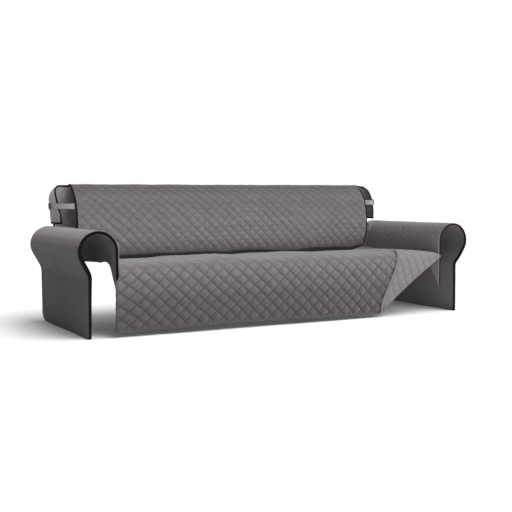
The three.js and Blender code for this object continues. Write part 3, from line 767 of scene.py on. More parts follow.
# %% [markdown]
# ## The grid of the seat
# The cut could be one even grid, but then the fold would cross its cells and fray. So the grid
# follows the stitch crossings as far as it can, and where the cloth is folded its lower rows squeeze
# up to the fold line. Where it isn't folded, the drop hangs up to 30 mm wider than the seat, in
# front of the arm, and a smaller lap covers the corner between arm and seat.

# %% Rows and columns of the seat
SEAT_COLUMNS, SEAT_ROWS = 55, 32
SQUEEZED_UP = 0.58
columns = np.linspace(-SEAT_HALF, SEAT_HALF, SEAT_COLUMNS * CELLS + 1)
rows = np.linspace(0, SEAT_LENGTH, SEAT_ROWS * CELLS + 1)
first_folded = int(np.searchsorted(columns, FOLD_FROM[0])) - 1
edge_x = columns[first_folded:]
start_up = np.where(columns >= edge_x[0], fold_up_at(columns), 0)[:, None]
start_up[first_folded] = 0
squeezed = start_up + (SQUEEZED_UP - start_up) * rows[None] / SQUEEZED_UP
flat_up = np.where(rows[None] < SQUEEZED_UP, squeezed, rows[None])
flat_x = np.repeat(columns[:, None], len(rows), 1)
main_flat = np.stack([flat_x, flat_up], -1)
print("seat grid", main_flat.shape[:2], "with", len(edge_x), "columns that end on the fold")

# %% The seat as it hangs
FLARE, LAP = 0.0300, 0.0065
flare = smoothstep(np.abs(flat_x), 1.02, SEAT_HALF + 0.03)
flare = flare * (1 - smoothstep(flat_up, CORNER_UP - 0.028, CORNER_UP - 0.002))
lap = smoothstep(np.abs(flat_x), 1.11, SEAT_HALF)
lap = lap * (1 - smoothstep(flat_up, CORNER_UP + 0.030, CORNER_UP + 0.050))
wider = np.maximum(FLARE * flare, LAP * lap)
wider[columns > edge_x[0]] = 0
hang_x = flat_x + np.sign(flat_x) * wider
seat_uneven = 0.0016 * soft_noise(main_flat, 9.0) + 0.0012 * soft_noise(main_flat, 21.0, 4.0)
main_points = seat_place(hang_x, flat_up)
main_points = main_points + seat_normal(hang_x, flat_up) * seat_uneven[..., None]
main_stitched = drawn(main_flat, 5.0)
print("seat hangs from", main_points[..., 2].min().round(3), "to", main_points[..., 2].max().round(3))

# %% [markdown]
# ## The grid of the folded corner
# The corner is a second grid. Each of its rows of points starts on the fold line, at one column of
# the main grid, and runs out to the cut edge: first in short steps round the small half circle, then
# in longer ones. The cut edge goes along the hem to the cut corner and up the side, so the starts
# are spread along it until one of them meets that corner.

# %% Cut edge of the corner
CORNER_X = 1.172
BEYOND_FOLD = 0.012
edge_up = fold_up_at(edge_x)
edge_up[0] = 0
to_corner = CORNER_X - edge_x[0]
rim_run = np.linspace(0, 1, len(edge_x)) * (to_corner + FOLD_UP + BEYOND_FOLD)
corner_column = int(np.abs(rim_run - to_corner).argmin())
rim_share = np.minimum(np.arange(len(rim_run)) / corner_column, 1)
rim_run += (to_corner - rim_run[corner_column]) * rim_share
rim_x = np.minimum(edge_x[0] + rim_run, CORNER_X)
rim_up = np.maximum(rim_run - to_corner, 0)
print("fold columns:", len(edge_x), "cut corner in column", corner_column)

# %% The folded corner as it lies
BEND_WIDE, BEND_ROWS, CORNER_ROWS = 0.017, 8, 44
SHORT_REACH = 0.05
edge = np.stack([edge_x, edge_up], -1)
rim = np.stack([rim_x, rim_up], -1)
bend_rows = np.linspace(0, BEND_WIDE, BEND_ROWS)
steps_out = []
for length in np.linalg.norm(rim - edge, axis=1):
    if length > SHORT_REACH:
        past_bend = np.linspace(BEND_WIDE, length, CORNER_ROWS - BEND_ROWS + 1)[1:]
        steps_out.append(np.concatenate([bend_rows, past_bend]) / length)
    else:
        steps_out.append(np.linspace(0, 1, CORNER_ROWS))
out_share = np.array(steps_out)[..., None]
corner_flat = edge[:, None] * (1 - out_share) + rim[:, None] * out_share
laid, lift, turn = folded(corner_flat.reshape(-1, 2))
laid_normal = seat_normal(laid[:, 0], laid[:, 1])
corner_points = seat_place(laid[:, 0], laid[:, 1]) + laid_normal * lift[:, None]
corner_points = corner_points.reshape(*corner_flat.shape[:2], 3)
corner_points[:, 0] = main_points[first_folded:, 0]
turn_share = (turn / math.pi).reshape(corner_flat.shape[:2])
corner_stitched = drawn(corner_flat, 5.0)
print("corner reaches up to", round(float(corner_points[..., 2].max()), 3), "m")

# %% [markdown]
# ## Sewing the seat
# Both grids are sewn into one cloth, filled and given their thickness. The seat top is pulled flat
# by use, so its diamonds swell less than those of the drop, and the cloth's edges are stitched flat.
# On the folded corner the cloth faces the other way, so its swell goes the other way too.

# %% Sewing the seat
SEAT_SWELL, FOLDED_SWELL = 0.0080, -0.0042
TOP_PRESSED = 0.72


def seat_swell(flat, stitched, folded_share):
    """Swell of the seat's cloth: full on the drop, less on top and inwards where it is folded."""
    up = flat[..., 1]
    on_top = smoothstep(up, 0.31, 0.41)
    edge = np.minimum(up, CORNER_X + 0.004 - np.abs(flat[..., 0]))
    full = SEAT_SWELL * (1 - TOP_PRESSED * on_top) * smoothstep(edge, 0.004, 0.03)
    full = full * (1 - smoothstep(up, SEAT_LENGTH - 0.03, SEAT_LENGTH))
    back = FOLDED_SWELL * smoothstep(edge, 0.004, 0.03)
    return swell_of(stitched, SEAT_PITCH) * (full * (1 - folded_share) + back * folded_share)


main_swell = seat_swell(main_flat, main_stitched, 0.0)
corner_swell = seat_swell(corner_flat, corner_stitched, turn_share)
main_grid = add_grid("seat_cloth", main_points, main_stitched, main_swell)
corner_grid = add_grid("corner", corner_points, corner_stitched, corner_swell, turned=True)
seat_cloth = sew([main_grid, corner_grid])
fill_quilting(seat_cloth)
give_thickness(seat_cloth, seat_fabric, reverse_fabric)
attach(seat_cloth, "root")
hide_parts("seat_panel")

# %% [markdown]
# ## Back panel
# The second cloth comes up out of the crease, over the top of the back and down behind it. Behind,
# it is wider: it wraps both rounded ends and ends in a free edge there. Its profile from the side is
# one smooth line, as for the seat. The flat cut is counted in columns and rows of stitch crossings,
# so the same counts can say where the wrapped parts begin and which cells of the grid are cloth.

# %% Profile of the back
BACK_LINE, BACK_RUN = smooth_line(
    [
        (0.868, 0.409), (0.848, 0.448), (0.831, 0.500), (0.821, 0.555), (0.818, 0.612),
        (0.823, 0.671), (0.838, 0.742), (0.862, 0.789), (0.903, 0.834), (0.944, 0.870),
        (0.972, 0.881), (0.992, 0.873), (1.001, 0.850), (1.002, 0.780), (1.002, 0.622),
        (0.998, 0.520), (0.994, 0.430),
    ]
)
BACK_LENGTH = BACK_RUN[-1]
BACK_HALF = 1.130
BACK_ROWS = 30
FRONT_COLUMNS = 30
WRAP_COLUMNS = 8
LOW_WRAP_COLUMNS = 3
WIDE_COLUMNS = FRONT_COLUMNS + WRAP_COLUMNS
LOW_COLUMNS = FRONT_COLUMNS + LOW_WRAP_COLUMNS
WRAP_END_Z = 0.637


def along_back(row):
    """The distance from the crease over the back's cloth to a row of stitch crossings."""
    return row * BACK_LENGTH / BACK_ROWS


def across_back(column):
    """The distance from the middle of the flat cloth to a column of stitch crossings."""
    return column * BACK_HALF / FRONT_COLUMNS


row_heights = walk(BACK_LINE, BACK_RUN, along_back(np.arange(BACK_ROWS + 1)))[:, 1]
ridge_row = int(row_heights.argmax())
wrap_start = ridge_row + 1
wrap_end = next(j for j in range(wrap_start + 1, BACK_ROWS) if row_heights[j] < WRAP_END_Z)
print("rows of the back: ridge", ridge_row, "wrap", wrap_start, "to", wrap_end)

# %% [markdown]
# ## Ends of the back
# Seen from above, each end of the back is rounded: widest at about the strap's height, narrower
# towards the top, and with a small radius at the rear corner. An outline at any height starts at the
# rear, turns the rear corner and comes round to the front, so the wrapped cloth and the strap can
# both be laid along it. The two real ends differ a little, so each has its own row of widths.

# %% Ends of the back
END_Z = (0.600, 0.631, 0.680, 0.740, 0.785, 0.824, 0.850, 0.868, 0.882)
END_REACH = {
    -1: (1.260, 1.261, 1.266, 1.270, 1.270, 1.260, 1.243, 1.220, 1.192),
    1: (1.260, 1.262, 1.268, 1.264, 1.257, 1.246, 1.230, 1.206, 1.180),
}
END_ANGLE = (43, 42.5, 41, 38, 33, 26, 15, 4, 0)
WIDEST_Y = 0.950
REAR_RADIUS = 0.030


def back_front(z):
    """Depth of the back's front face at a height."""
    front = BACK_RUN <= along_back(ridge_row)
    return np.interp(z, BACK_LINE[front, 1], BACK_LINE[front, 0])


def back_rear(z):
    """Depth of the back's rear face at a height."""
    rear = BACK_RUN >= along_back(wrap_start)
    return np.interp(z, BACK_LINE[rear, 1][::-1], BACK_LINE[rear, 0][::-1])


def end_outline(side, z, last_angle):
    """Plan outline of one end at a height, drawn on the right, and the running length along it."""
    y_front, y_rear = back_front(z), back_rear(z)
    widest = follow(END_Z, END_REACH[side], z)
    y_widest = max(WIDEST_Y, (y_front + y_rear) / 2)
    radius = min(REAR_RADIUS, y_rear - y_widest)
    turn = np.linspace(math.pi / 2, 0, 13)
    round_end = np.radians(np.linspace(0, -last_angle, 40))
    xs = [[BACK_HALF], widest - radius + radius * np.cos(turn)]
    ys = [[y_rear], y_rear - radius + radius * np.sin(turn)]
    xs.append(BACK_HALF + (widest - BACK_HALF) * np.cos(round_end))
    ys.append(y_widest + (y_widest - y_front) * np.sin(round_end))
    line = np.stack([np.concatenate(xs), np.concatenate(ys)], -1)
    return line, run_along(line)


GATHER_Z = 0.742
ways_round = [round(float(end_outline(side, GATHER_Z, 90)[1][-1]), 3) for side in (-1, 1)]
print("from the rear round each end to its front, at the height of the straps:", ways_round, "m")

# %% Where the back's cloth hangs
def back_place(column, row):
    """Where the back's cloth lies, for counts of stitch crossings from its middle and its crease."""
    column, row = np.broadcast_arrays(np.asarray(column, float), np.asarray(row, float))
    line = walk(BACK_LINE, BACK_RUN, along_back(row))
    out = np.stack([across_back(column), line[..., 0], line[..., 1]], -1)
    sag = crease_sag(out[..., 0]) * np.clip(1 - row, 0, 1)
    out[..., 1] += CREASE_SLOPE * sag
    out[..., 2] += sag
    for place in np.argwhere((np.abs(column) > FRONT_COLUMNS) & (row >= wrap_start - 1e-6)):
        at = tuple(place)
        side = 1 if column[at] > 0 else -1
        z = out[at][2]
        outline, run = end_outline(side, z, float(follow(END_Z, END_ANGLE, z)))
        share = (abs(column[at]) - FRONT_COLUMNS) / WRAP_COLUMNS
        x, y = walk(outline, run, share * run[-1])
        out[at][:2] = side * x, y
    out[..., 1] -= SETBACK
    out[..., 2] -= CLEARANCE
    return out


print("the ridge's middle lies at", back_place(0, ridge_row).round(3))

# %% [markdown]
# ## Finish of the back
# The back has the seat's cloth, but its filling is pressed flat, so its grooves are weak. A seam
# runs just in front of the ridge, and there are no diamonds on the ridge itself and on the gathered
# ends. Light and shade are painted along it: painted shade in the crease, painted light just above
# it that falls off towards the top, and more painted light on the wrapped ends. The reverse, which
# hardly shows, is painted lighter, as painted light inside the wrapped ends, which lie in shade.

# %% Finish of the back
RIDGE_ALONG = float(along_back(ridge_row))
SEAM_BEFORE_RIDGE = 0.028
# Painted light and shade along the back: shade in the crease, light above it, darker to the top.
BACK_PAINTED_LIGHT = (
    (0.014, 0.30), (0.026, 1.60), (0.11, 1.60), (0.20, 1.23), (0.29, 0.96), (0.38, 0.71), (0.47, 0.50),
    (0.51, 0.36), (0.60, 0.60),
)


def off_the_ends(across):
    """0 on the gathered ends, which have no stitch lines, and 1 between them."""
    return 1 - across.math("ABSOLUTE").between(1.20, 1.255)


back_fabric = quilted_material(
    "brushed_back_cloth", BACK_PITCH, to_light(121, 116, 117), 0.3, 0.11, 0.5, 0.4,
    quilted=lambda across, along: off_the_ends(across) * (1 - near(along, RIDGE_ALONG, 0.05)),
    seam=lambda across, along: near(along, RIDGE_ALONG - SEAM_BEFORE_RIDGE, 0.0016),
    # The wrapped ends get more painted light.
    painted_shading=lambda across, along: painted_shading_along(along, BACK_PAINTED_LIGHT)
    * (1 + across.math("ABSOLUTE").between(1.225, 1.285) * 1.6),
)
# The back's reverse is lighter than the seat's as painted light, inside wrapped ends that lie in shade.
back_reverse = quilted_material(
    "painted_light_back_reverse", BACK_PITCH, to_light(165, 160, 161), 0.3, 0.08, 0.35, 0.0,
    quilted=lambda across, along: off_the_ends(across),
    seam=lambda across, along: near(along, SEAM_IN, SEAM_HALF),
)
print("finishes of the back:", back_fabric.name, back_reverse.name, "ridge at", round(RIDGE_ALONG, 4))

# %% [markdown]
# ## The grid of the back
# The flat cut is a rectangle with its corners cut away: in front there are only the middle columns,
# behind the wrapped ones as well, and below the wrapped ends only a few of them. The grid is made
# whole, and the cells outside the cut get no faces.

# %% The grid of the back
back_columns = np.arange(-WIDE_COLUMNS * CELLS, WIDE_COLUMNS * CELLS + 1) / CELLS
back_rows = np.arange(0, BACK_ROWS * CELLS + 1) / CELLS
column, row = back_columns[:, None], back_rows[None]
back_points = back_place(column, row)
back_flat = np.stack(np.broadcast_arrays(across_back(column), along_back(row)), -1)

cell_column = np.abs((back_columns[:-1] + back_columns[1:]) / 2)[:, None]
cell_row = ((back_rows[:-1] + back_rows[1:]) / 2)[None]
wrapped = (cell_row > wrap_start) & ((cell_row < wrap_end) | (cell_column < LOW_COLUMNS))
back_keep = (cell_column < FRONT_COLUMNS) | wrapped

# %% [markdown]
# ## Pleats and swell of the back
# Where the strap draws the rear drop round the ends, the cloth is gathered, so fine upright pleats
# run through it, highest at the strap. They are a wave across the wrapped columns, bent a little by
# a slower wave so that no pleat is straight. The diamonds swell less than on the seat, and towards
# the free edges the cloth is flat, because it is held there by the binding.

# %% Pleats of the gathered ends
PLEAT_HIGH = 0.0032
beyond = np.clip(np.abs(back_columns) - FRONT_COLUMNS, 0, None)[:, None]
rear_rows = np.arange(wrap_start, BACK_ROWS + 1)
strap_row = float(np.interp(-GATHER_Z, -row_heights[wrap_start:], rear_rows))
near_strap = np.exp(-(((row - strap_row) / 2.6) ** 2))
pleats = smoothstep(beyond, 2.0, 4.5) * (0.35 + 0.65 * near_strap) * PLEAT_HIGH
pleats = pleats * np.sin(beyond * 5.1 + 0.9 * np.sin(row * 0.9) + (column > 0))
pleats = pleats * (1 - smoothstep(beyond, 6.9, 7.6))
pleats = pleats * smoothstep(row - wrap_start, 0.4, 1.4) * smoothstep(wrap_end - row, 0.4, 1.4)
print("pleats up to", round(1000 * float(np.abs(pleats).max()), 1), "mm, round row", round(strap_row, 1))

# %% Sewing the back
BACK_SWELL = 0.0034
NO_EDGE_NEAR = 9
side_edge = np.where(row < wrap_start, FRONT_COLUMNS - np.abs(column), NO_EDGE_NEAR)
filled = smoothstep(side_edge, 0.1, 0.8) * smoothstep(np.abs(row - ridge_row), 0.4, 1.4)
filled = filled * smoothstep(row, 0.3, 1.2) * (1 - smoothstep(beyond, 1.5, 3))
filled = filled * smoothstep(BACK_ROWS - row, 0.1, 0.8)
back_uneven = 0.0016 * soft_noise(back_flat, 8.0, 2.0) + 0.0011 * soft_noise(back_flat, 19.0, 7.0)
back_stitched = drawn(back_flat, 17.0)
back_swell = swell_of(back_stitched, BACK_PITCH) * BACK_SWELL * filled
back_swell = back_swell + pleats + back_uneven * smoothstep(side_edge, 0.1, 1.5)
back_cloth = sew([add_grid("back_cloth", back_points, back_stitched, back_swell, back_keep)])
fill_quilting(back_cloth)
give_thickness(back_cloth, back_fabric, back_reverse)
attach(back_cloth, "root")
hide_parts("back_panel")

# %% [markdown]
# ## Arm panels
# Each arm has one plain cloth that rises from beside the seat, goes over the roll and hangs down the
# outside to the floor. It could be swept along one profile, but the roll ends differently at its
# front and beside the back. So a coarse net of places is set out, rows along the profile and columns
# along the arm's depth, and smooth curves through the net give the fine grid. Both arms are worked
# out as a right arm, and the left one is mirrored at the end.

# %% Profile of the arm
ROLL_X, ROLL_Z, ROLL_WIDE, ROLL_HIGH = 1.278, 0.495, 0.122, 0.115
ARM_OUTER = 1.331
PINCH_Z, PINCH_BLEND, PINCH_SHARE = 0.343, 0.025, 0.78
WALL_ROWS, ROLL_ROWS, DROP_ROWS = 3, 12, 6

roll_turn = np.radians(np.linspace(180, -30, ROLL_ROWS + 1))
stations = [(ROLL_X + ROLL_WIDE * math.cos(t), ROLL_Z + ROLL_HIGH * math.sin(t)) for t in roll_turn]
roll_end, pinch = np.array(stations[-1]), np.array([ARM_OUTER, PINCH_Z])
bend_from = roll_end + (pinch - roll_end) * PINCH_SHARE
bend_to = np.array([ARM_OUTER, PINCH_Z - PINCH_BLEND])
stations += [tuple(roll_end + (bend_from - roll_end) * k / 2) for k in (1, 2)]
for t in (1 / 3, 2 / 3, 1.0):
    stations.append(tuple((1 - t) ** 2 * bend_from + 2 * t * (1 - t) * pinch + t * t * bend_to))
stations = np.array(stations)
ARM_ROWS = WALL_ROWS + len(stations) - 1 + DROP_ROWS
print("rows over the arm:", ARM_ROWS, "top of the roll", round(stations[:, 1].max(), 3))

# %% [markdown]
# ## The arm's inner side
# On its inner side the cloth goes down beside the seat to a seam a little under the seat's edge. At
# its front it reaches lower, in a tongue behind the drop, which shows where the corner is folded
# back. At its rear it ends against the back panel, and over the roll it curves in with the back. The
# outer drop stands a little behind the roll's front and has a hem that lifts at the rear.

# %% Heights of the arm's rows
SEAM_LAP = 0.012
TONGUE_Z, TONGUE_RISE = 0.190, 1.5
ARM_DEPTH = 0.965
FRONT_RISE = 0.006
seat_edge_ups = np.linspace(0.33, SEAT_LENGTH, 300)


def arm_height(side, depth, j):
    """Height of a row of the arm's net at a depth from its opening."""
    if j < WALL_ROWS:
        rim = seat_place(side * SEAT_HALF, seat_edge_ups)
        seat_edge = float(np.interp(depth, rim[:, 1] + SETBACK, rim[:, 2] + CLEARANCE))
        low = min(seat_edge - SEAM_LAP, TONGUE_Z + TONGUE_RISE * depth)
        return low + (ROLL_Z - low) * j / WALL_ROWS
    z = stations[min(j - WALL_ROWS, len(stations) - 1)][1]
    return z + FRONT_RISE * max(z - ROLL_Z, 0) / ROLL_HIGH * (1 - depth / ARM_DEPTH)


inner_edge = [round(arm_height(1, depth, 0), 3) for depth in (0.0, 0.1, 0.5)]
print("the inner side reaches down to", inner_edge, "at 0, 0.1 and 0.5 m from its front")

# %% The arm's net
ARM_Y = np.array([0.965, 0.945, 0.910, 0.840, 0.740, 0.640, 0.480, 0.320, 0.160, 0.060, 0.0])
ARM_HEM = np.array([0.048, 0.020, 0.004] + [0.002] * 8)
ARM_REAR = np.array([0.868, 0.856, 0.844, 0.832, 0.826, 0.830, 0.843, 0.873, 0.940, 0.965])
SHAPED_FROM = 0.640
DROP_SETBACK = 0.028
BESIDE_BACK_X, BESIDE_BACK_LEAN, BESIDE_BACK_GAP = 1.1425, 0.007, 0.018
BESIDE_BACK_ROWS, BESIDE_BACK_TOP = 7, 0.600


def arm_net(side):
    """Coarse net of places over the right arm, from its rear end to its opening, in its own depths."""
    net = np.zeros((len(ARM_Y), ARM_ROWS + 1, 3))
    for i, y in enumerate(ARM_Y):
        for j in range(ARM_ROWS + 1):
            rear = ARM_REAR[min(j, len(ARM_REAR) - 1)]
            shaped = max(y - SHAPED_FROM, 0) / (ARM_DEPTH - SHAPED_FROM)
            on_drop = smoothstep(j, WALL_ROWS + ROLL_ROWS, ARM_ROWS - DROP_ROWS)
            near_front = 1 - smoothstep(y, 0, SHAPED_FROM)
            depth = y - shaped * (ARM_DEPTH - rear)
            depth = depth + DROP_SETBACK * float(on_drop) * float(near_front)
            height = arm_height(side, depth, j)
            if i == 0 and j <= BESIDE_BACK_ROWS:
                x = BESIDE_BACK_X - BESIDE_BACK_LEAN * max(WALL_ROWS - j, 0)
                z = min(height, BESIDE_BACK_TOP)
                net[i, j] = x, back_front(z) + BESIDE_BACK_GAP, z
                continue
            station = stations[min(max(j - WALL_ROWS, 0), len(stations) - 1)]
            down = max(j - (ARM_ROWS - DROP_ROWS), 0) / DROP_ROWS
            ripple = RIPPLE_HIGH * math.sin(y / 0.095 + 1) * down
            net[i, j] = station[0] + ripple, depth, height + (ARM_HEM[i] - height) * down
    return net


print("net of one arm:", arm_net(1).shape[:2], "places")

# %% [markdown]
# ## From the net to the fine grid
# Smooth curves run through the net first along the profile and then along the depth. The last
# stretch beside the back stays straight, since a curve through it would swing out at the free edge.
# The running length over the roll, measured at one column of the net, gives the flat place along
# the cloth, and the depth gives the place across it.

# %% From the net to the fine grid
DEPTH_STEP, ROW_CELLS, REAR_CELLS = 0.0105, 4, 4
MEASURED_COLUMN = 5


def fine_arm(net):
    """Fine grid through the net's places: smooth curves, but straight beside the back."""
    row_run = run_along(net[MEASURED_COLUMN])
    stretches = zip(row_run, row_run[1:])
    row_at = [np.linspace(low, high, ROW_CELLS, endpoint=False) for low, high in stretches]
    row_at = np.concatenate([*row_at, row_run[-1:]])
    by_row = np.stack([follow(row_run, net[i], row_at) for i in range(len(ARM_Y))])
    front_run = -ARM_Y
    beside_back = -np.linspace(ARM_Y[0], ARM_Y[1], REAR_CELLS + 1)[:-1]
    y_at = np.concatenate([beside_back, -np.arange(ARM_Y[1], 0.004, -DEPTH_STEP), [0.0]])
    smooth = np.stack(
        [follow(front_run[1:], by_row[1:, k], y_at) for k in range(len(row_at))], axis=1
    )
    first = y_at < front_run[1]
    share = ((y_at[first] - front_run[0]) / (front_run[1] - front_run[0]))[:, None, None]
    smooth[first] = by_row[0] * (1 - share) + by_row[1] * share
    flat = np.stack(np.broadcast_arrays(-y_at[:, None], row_at[None]), -1)
    return smooth, flat, row_run


print("cells between two rows of the net:", ROW_CELLS, "and along the depth", 1000 * DEPTH_STEP, "mm")

# %% [markdown]
# ## Finish of the arms
# The arms have the same brushed cloth, but it is pulled smooth over the roll, so the quilting hardly
# shows and only low on the inner side. Their painted light and shade change most: painted light on
# the inner side and on the top of the roll, which catches the lamp, and painted shade on the outer
# drop, which looks away from it and is painted the darkest cloth of the cover. The seam runs along
# the arm's opening.

# %% Finish of the arms
# Painted light and shade along the arm: light inside and on the roll, shade on the outer drop.
ARM_PAINTED_LIGHT = (
    (0.10, 1.80), (0.20, 1.10), (0.33, 1.42), (0.38, 1.22), (0.42, 0.80), (0.46, 0.50), (0.54, 0.34),
    (0.64, 0.35), (1.00, 0.45),
)
arm_fabric = quilted_material(
    "brushed_arm_cloth", BACK_PITCH, to_light(115, 109, 112), 0.25, 0.10, 0.45, 0.1,
    quilted=lambda across, along: 1 - along.between(0.18, 0.30),
    seam=lambda across, along: near(across, SEAM_IN, SEAM_HALF),
    painted_shading=lambda across, along: painted_shading_along(along, ARM_PAINTED_LIGHT),
)
arm_reverse = quilted_material(
    "smooth_reverse_cloth", BACK_PITCH, to_light(122, 118, 119), 0.0, 0.03, 0.35, 0.1,
    quilted=lambda across, along: 1 - along.between(0.30, 0.42),
    seam=lambda across, along: near(across, SEAM_IN, SEAM_HALF),
)
print("finishes of the arms:", arm_fabric.name, arm_reverse.name)

# %% [markdown]
# ## Arm cloth
# A loop makes both arms. The swell of the arm's cloth is mostly soft unevenness, with a few folds
# along the arm where it is pinched under the roll and faint diamonds low on the inner side. It is
# calm at the edges, where the bands and seams hold it. The places are mirrored for the left arm, so
# its grid is turned round to keep its faces outwards.

# %% Arm cloth
ARM_CUT_DEPTH = 0.945
FOLD_HIGH, FAINT_HIGH = 0.0016, 0.0016


def arm_swell(side, flat, row_run):
    """Unevenness of the arm's cloth, folds under its roll and faint diamonds low inside."""
    roll_end_run = row_run[WALL_ROWS + ROLL_ROWS]
    drop_run = row_run[ARM_ROWS - DROP_ROWS]
    depth, along = flat[..., 0], flat[..., 1]
    edge = np.minimum(np.minimum(depth, ARM_CUT_DEPTH - depth), row_run[-1] - along)
    calm = smoothstep(edge, 0.006, 0.05)
    swell = 0.0018 * soft_noise(flat, 4.0, 11.0 + side) + 0.0005 * soft_noise(flat, 11.0, 3.0 + side)
    under_roll = np.exp(-(((along - (roll_end_run + drop_run) / 2) / 0.05) ** 2))
    swell = swell + FOLD_HIGH * under_roll * soft_noise(flat * (14.0, 3.0), 1.0, 5.0)
    inner = 1 - smoothstep(along, 0.16, 0.28)
    return swell * calm + FAINT_HIGH * inner * swell_of(flat, BACK_PITCH) * calm


arm_cloths, arm_grids = {}, {}
for side, word in ((-1, "left"), (1, "right")):
    places, flat, row_run = fine_arm(arm_net(side))
    points = places * (side, 1, 1) - (0, SETBACK, CLEARANCE)
    swell = arm_swell(side, flat, row_run)
    cloth = sew([add_grid("arm_cloth_" + word, points, flat, swell, turned=side < 0)])
    fill_quilting(cloth)
    give_thickness(cloth, arm_fabric, arm_reverse)
    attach(cloth, "root")
    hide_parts("arm_panel_" + word)
    arm_cloths[word], arm_grids[word] = cloth, (places, row_run)

# %% [markdown]
# ## Narrow woven stuff
# The arm openings and the free edges of the back are bound in a dark narrow elastic, and the straps
# are grey elastic webbing. Both are woven with fine ribs across and threads along, which two sine
# waves on the flat places give, one a set. The dark elastic is dull, and the webbing shines a little.

# %% Narrow woven stuff
def woven_material(name, colour, run_pitch, rib_pitch, sheen, rough, shine):
    """Narrow woven stuff: fine ribs across it and threads along it."""
    material, start = new_material(name)
    place, across, along = flat_place(start)
    ribs = (along * (2 * math.pi / run_pitch)).math("SINE")
    threads = (across * (2 * math.pi / rib_pitch)).math("SINE")
    nap = noise_of(start, place, 90.0, 3.0, 0.6)
    light = 1.0 + ribs * 0.16 + threads * 0.1 + nap * 0.5
    height = ribs * 0.4 + threads * 0.25 + nap * 0.3
    close_material(
        start, lit(light, colour), rough + nap * 0.1, height, 0.0006,
        Sheen_Weight=sheen, Sheen_Roughness=0.5, Specular_IOR_Level=shine,
    )
    return material


edging_fabric = woven_material(
    "dark_elastic_edging", to_light(19, 13, 13), 0.0022, 0.0018, 0.0, 0.9, 0.1
)
strap_fabric = woven_material(
    "grey_elastic_webbing", to_light(150, 143, 146), 0.0026, 0.0021, 0.15, 0.8, 0.3
)
print("woven finishes:", edging_fabric.name, strap_fabric.name)

# %% [markdown]
# ## Swept bars
# An edging or a strap is a long bar whose section changes a little on its way. A curve with a bevel
# would keep one section, and would turn it as it likes on a bent route. So the bar is built from a
# row of sections, each given as its corners in place, and only the faces between them and the two
# caps are added here. The length along the bar and the way round its section are its flat places.

# %% Swept bars
SHARP_FROM = math.radians(50)


def sweep(name, sections, material, across_run):
    """A closed bar through rows of section corners, with its ends capped."""
    sections = np.asarray(sections)
    count, sides = sections.shape[:2]
    run = run_along(sections.mean(1))
    faces, flat = [], []
    for k in range(count - 1):
        for c in range(sides):
            d = (c + 1) % sides
            faces.append((k * sides + c, k * sides + d, (k + 1) * sides + d, (k + 1) * sides + c))
            u0, u1 = across_run * c / sides, across_run * (c + 1) / sides
            flat += [(u0, run[k]), (u1, run[k]), (u1, run[k + 1]), (u0, run[k + 1])]
    for k, order in ((0, -1), (count - 1, 1)):
        faces.append(tuple(k * sides + c for c in range(sides))[::order])
        flat += [(across_run * 0.5, run[k])] * sides
    mesh = bpy.data.meshes.new(name)
    mesh.from_pydata(sections.reshape(-1, 3).tolist(), [], faces)
    mesh.uv_layers.new(name="cloth").data.foreach_set("uv", np.array(flat, np.float32).ravel())
    mesh.materials.append(material)
    piece = add_object(name, mesh)
    only(piece)
    bpy.ops.object.mode_set(mode="EDIT")
    bpy.ops.mesh.select_all(action="SELECT")
    bpy.ops.mesh.normals_make_consistent(inside=False)
    bpy.ops.object.mode_set(mode="OBJECT")
    bpy.ops.object.shade_smooth_by_angle(angle=SHARP_FROM)
    print(name, "faces", len(mesh.polygons), "length", round(float(run[-1]), 3))
    return piece


print("edges of a swept bar stay sharp from", round(math.degrees(SHARP_FROM)), "degrees")

# %% [markdown]
# ## Bands of the arm openings
# A dark elastic edge is turned in over the front of each arm and holds its cloth round the roll. It
# follows the last row of the arm's own grid, so it can't leave the cloth. At each point its section
# is set by the direction the cloth faces and by the opening's front, and its width by a table along
# the opening. The two bands differ, as in the photograph, so each has its own table of widths. The
# elastic puckers, which a short wave on the front of the section gives.

# %% Section of the bands
BAND_AT = (0, 0.12, 0.25, 0.33, 0.45, 0.52, 0.62, 0.70, 0.80, 1)
BAND_WIDE = {
    "left": (0.014, 0.016, 0.016, 0.016, 0.019, 0.022, 0.025, 0.024, 0.020, 0.017),
    "right": (0.013, 0.012, 0.010, 0.010, 0.012, 0.014, 0.019, 0.020, 0.017, 0.016),
}
BAND_SECTION = [
    (0, 0.25), (0.12, 0.02), (0.3, -0.12), (0.5, -0.2), (0.7, -0.12), (0.88, 0.02), (1, 0.25),
    (1, 0.75), (0.8, 1.0), (0.5, 1.05), (0.2, 1.0), (0, 0.75),
]
BAND_SETBACK, BAND_THICK = 0.0016, 0.0025
BAND_GAP = 0.0004


def band_section(at, normal, width, pucker):
    """Corners of the band's section inside one point of the opening, still on the right arm."""
    corners = []
    for share, forward in BAND_SECTION:
        puckered = pucker if 0.1 < share < 0.9 and forward < 0.5 else 0
        y = max(BAND_SETBACK + BAND_THICK * forward + puckered, BAND_GAP)
        point = at - normal * (CLOTH / 2 + BAND_GAP + width * share)
        corners.append((point[0], at[1] + y, point[2]))
    return corners


print("corners of the band's section:", len(BAND_SECTION))

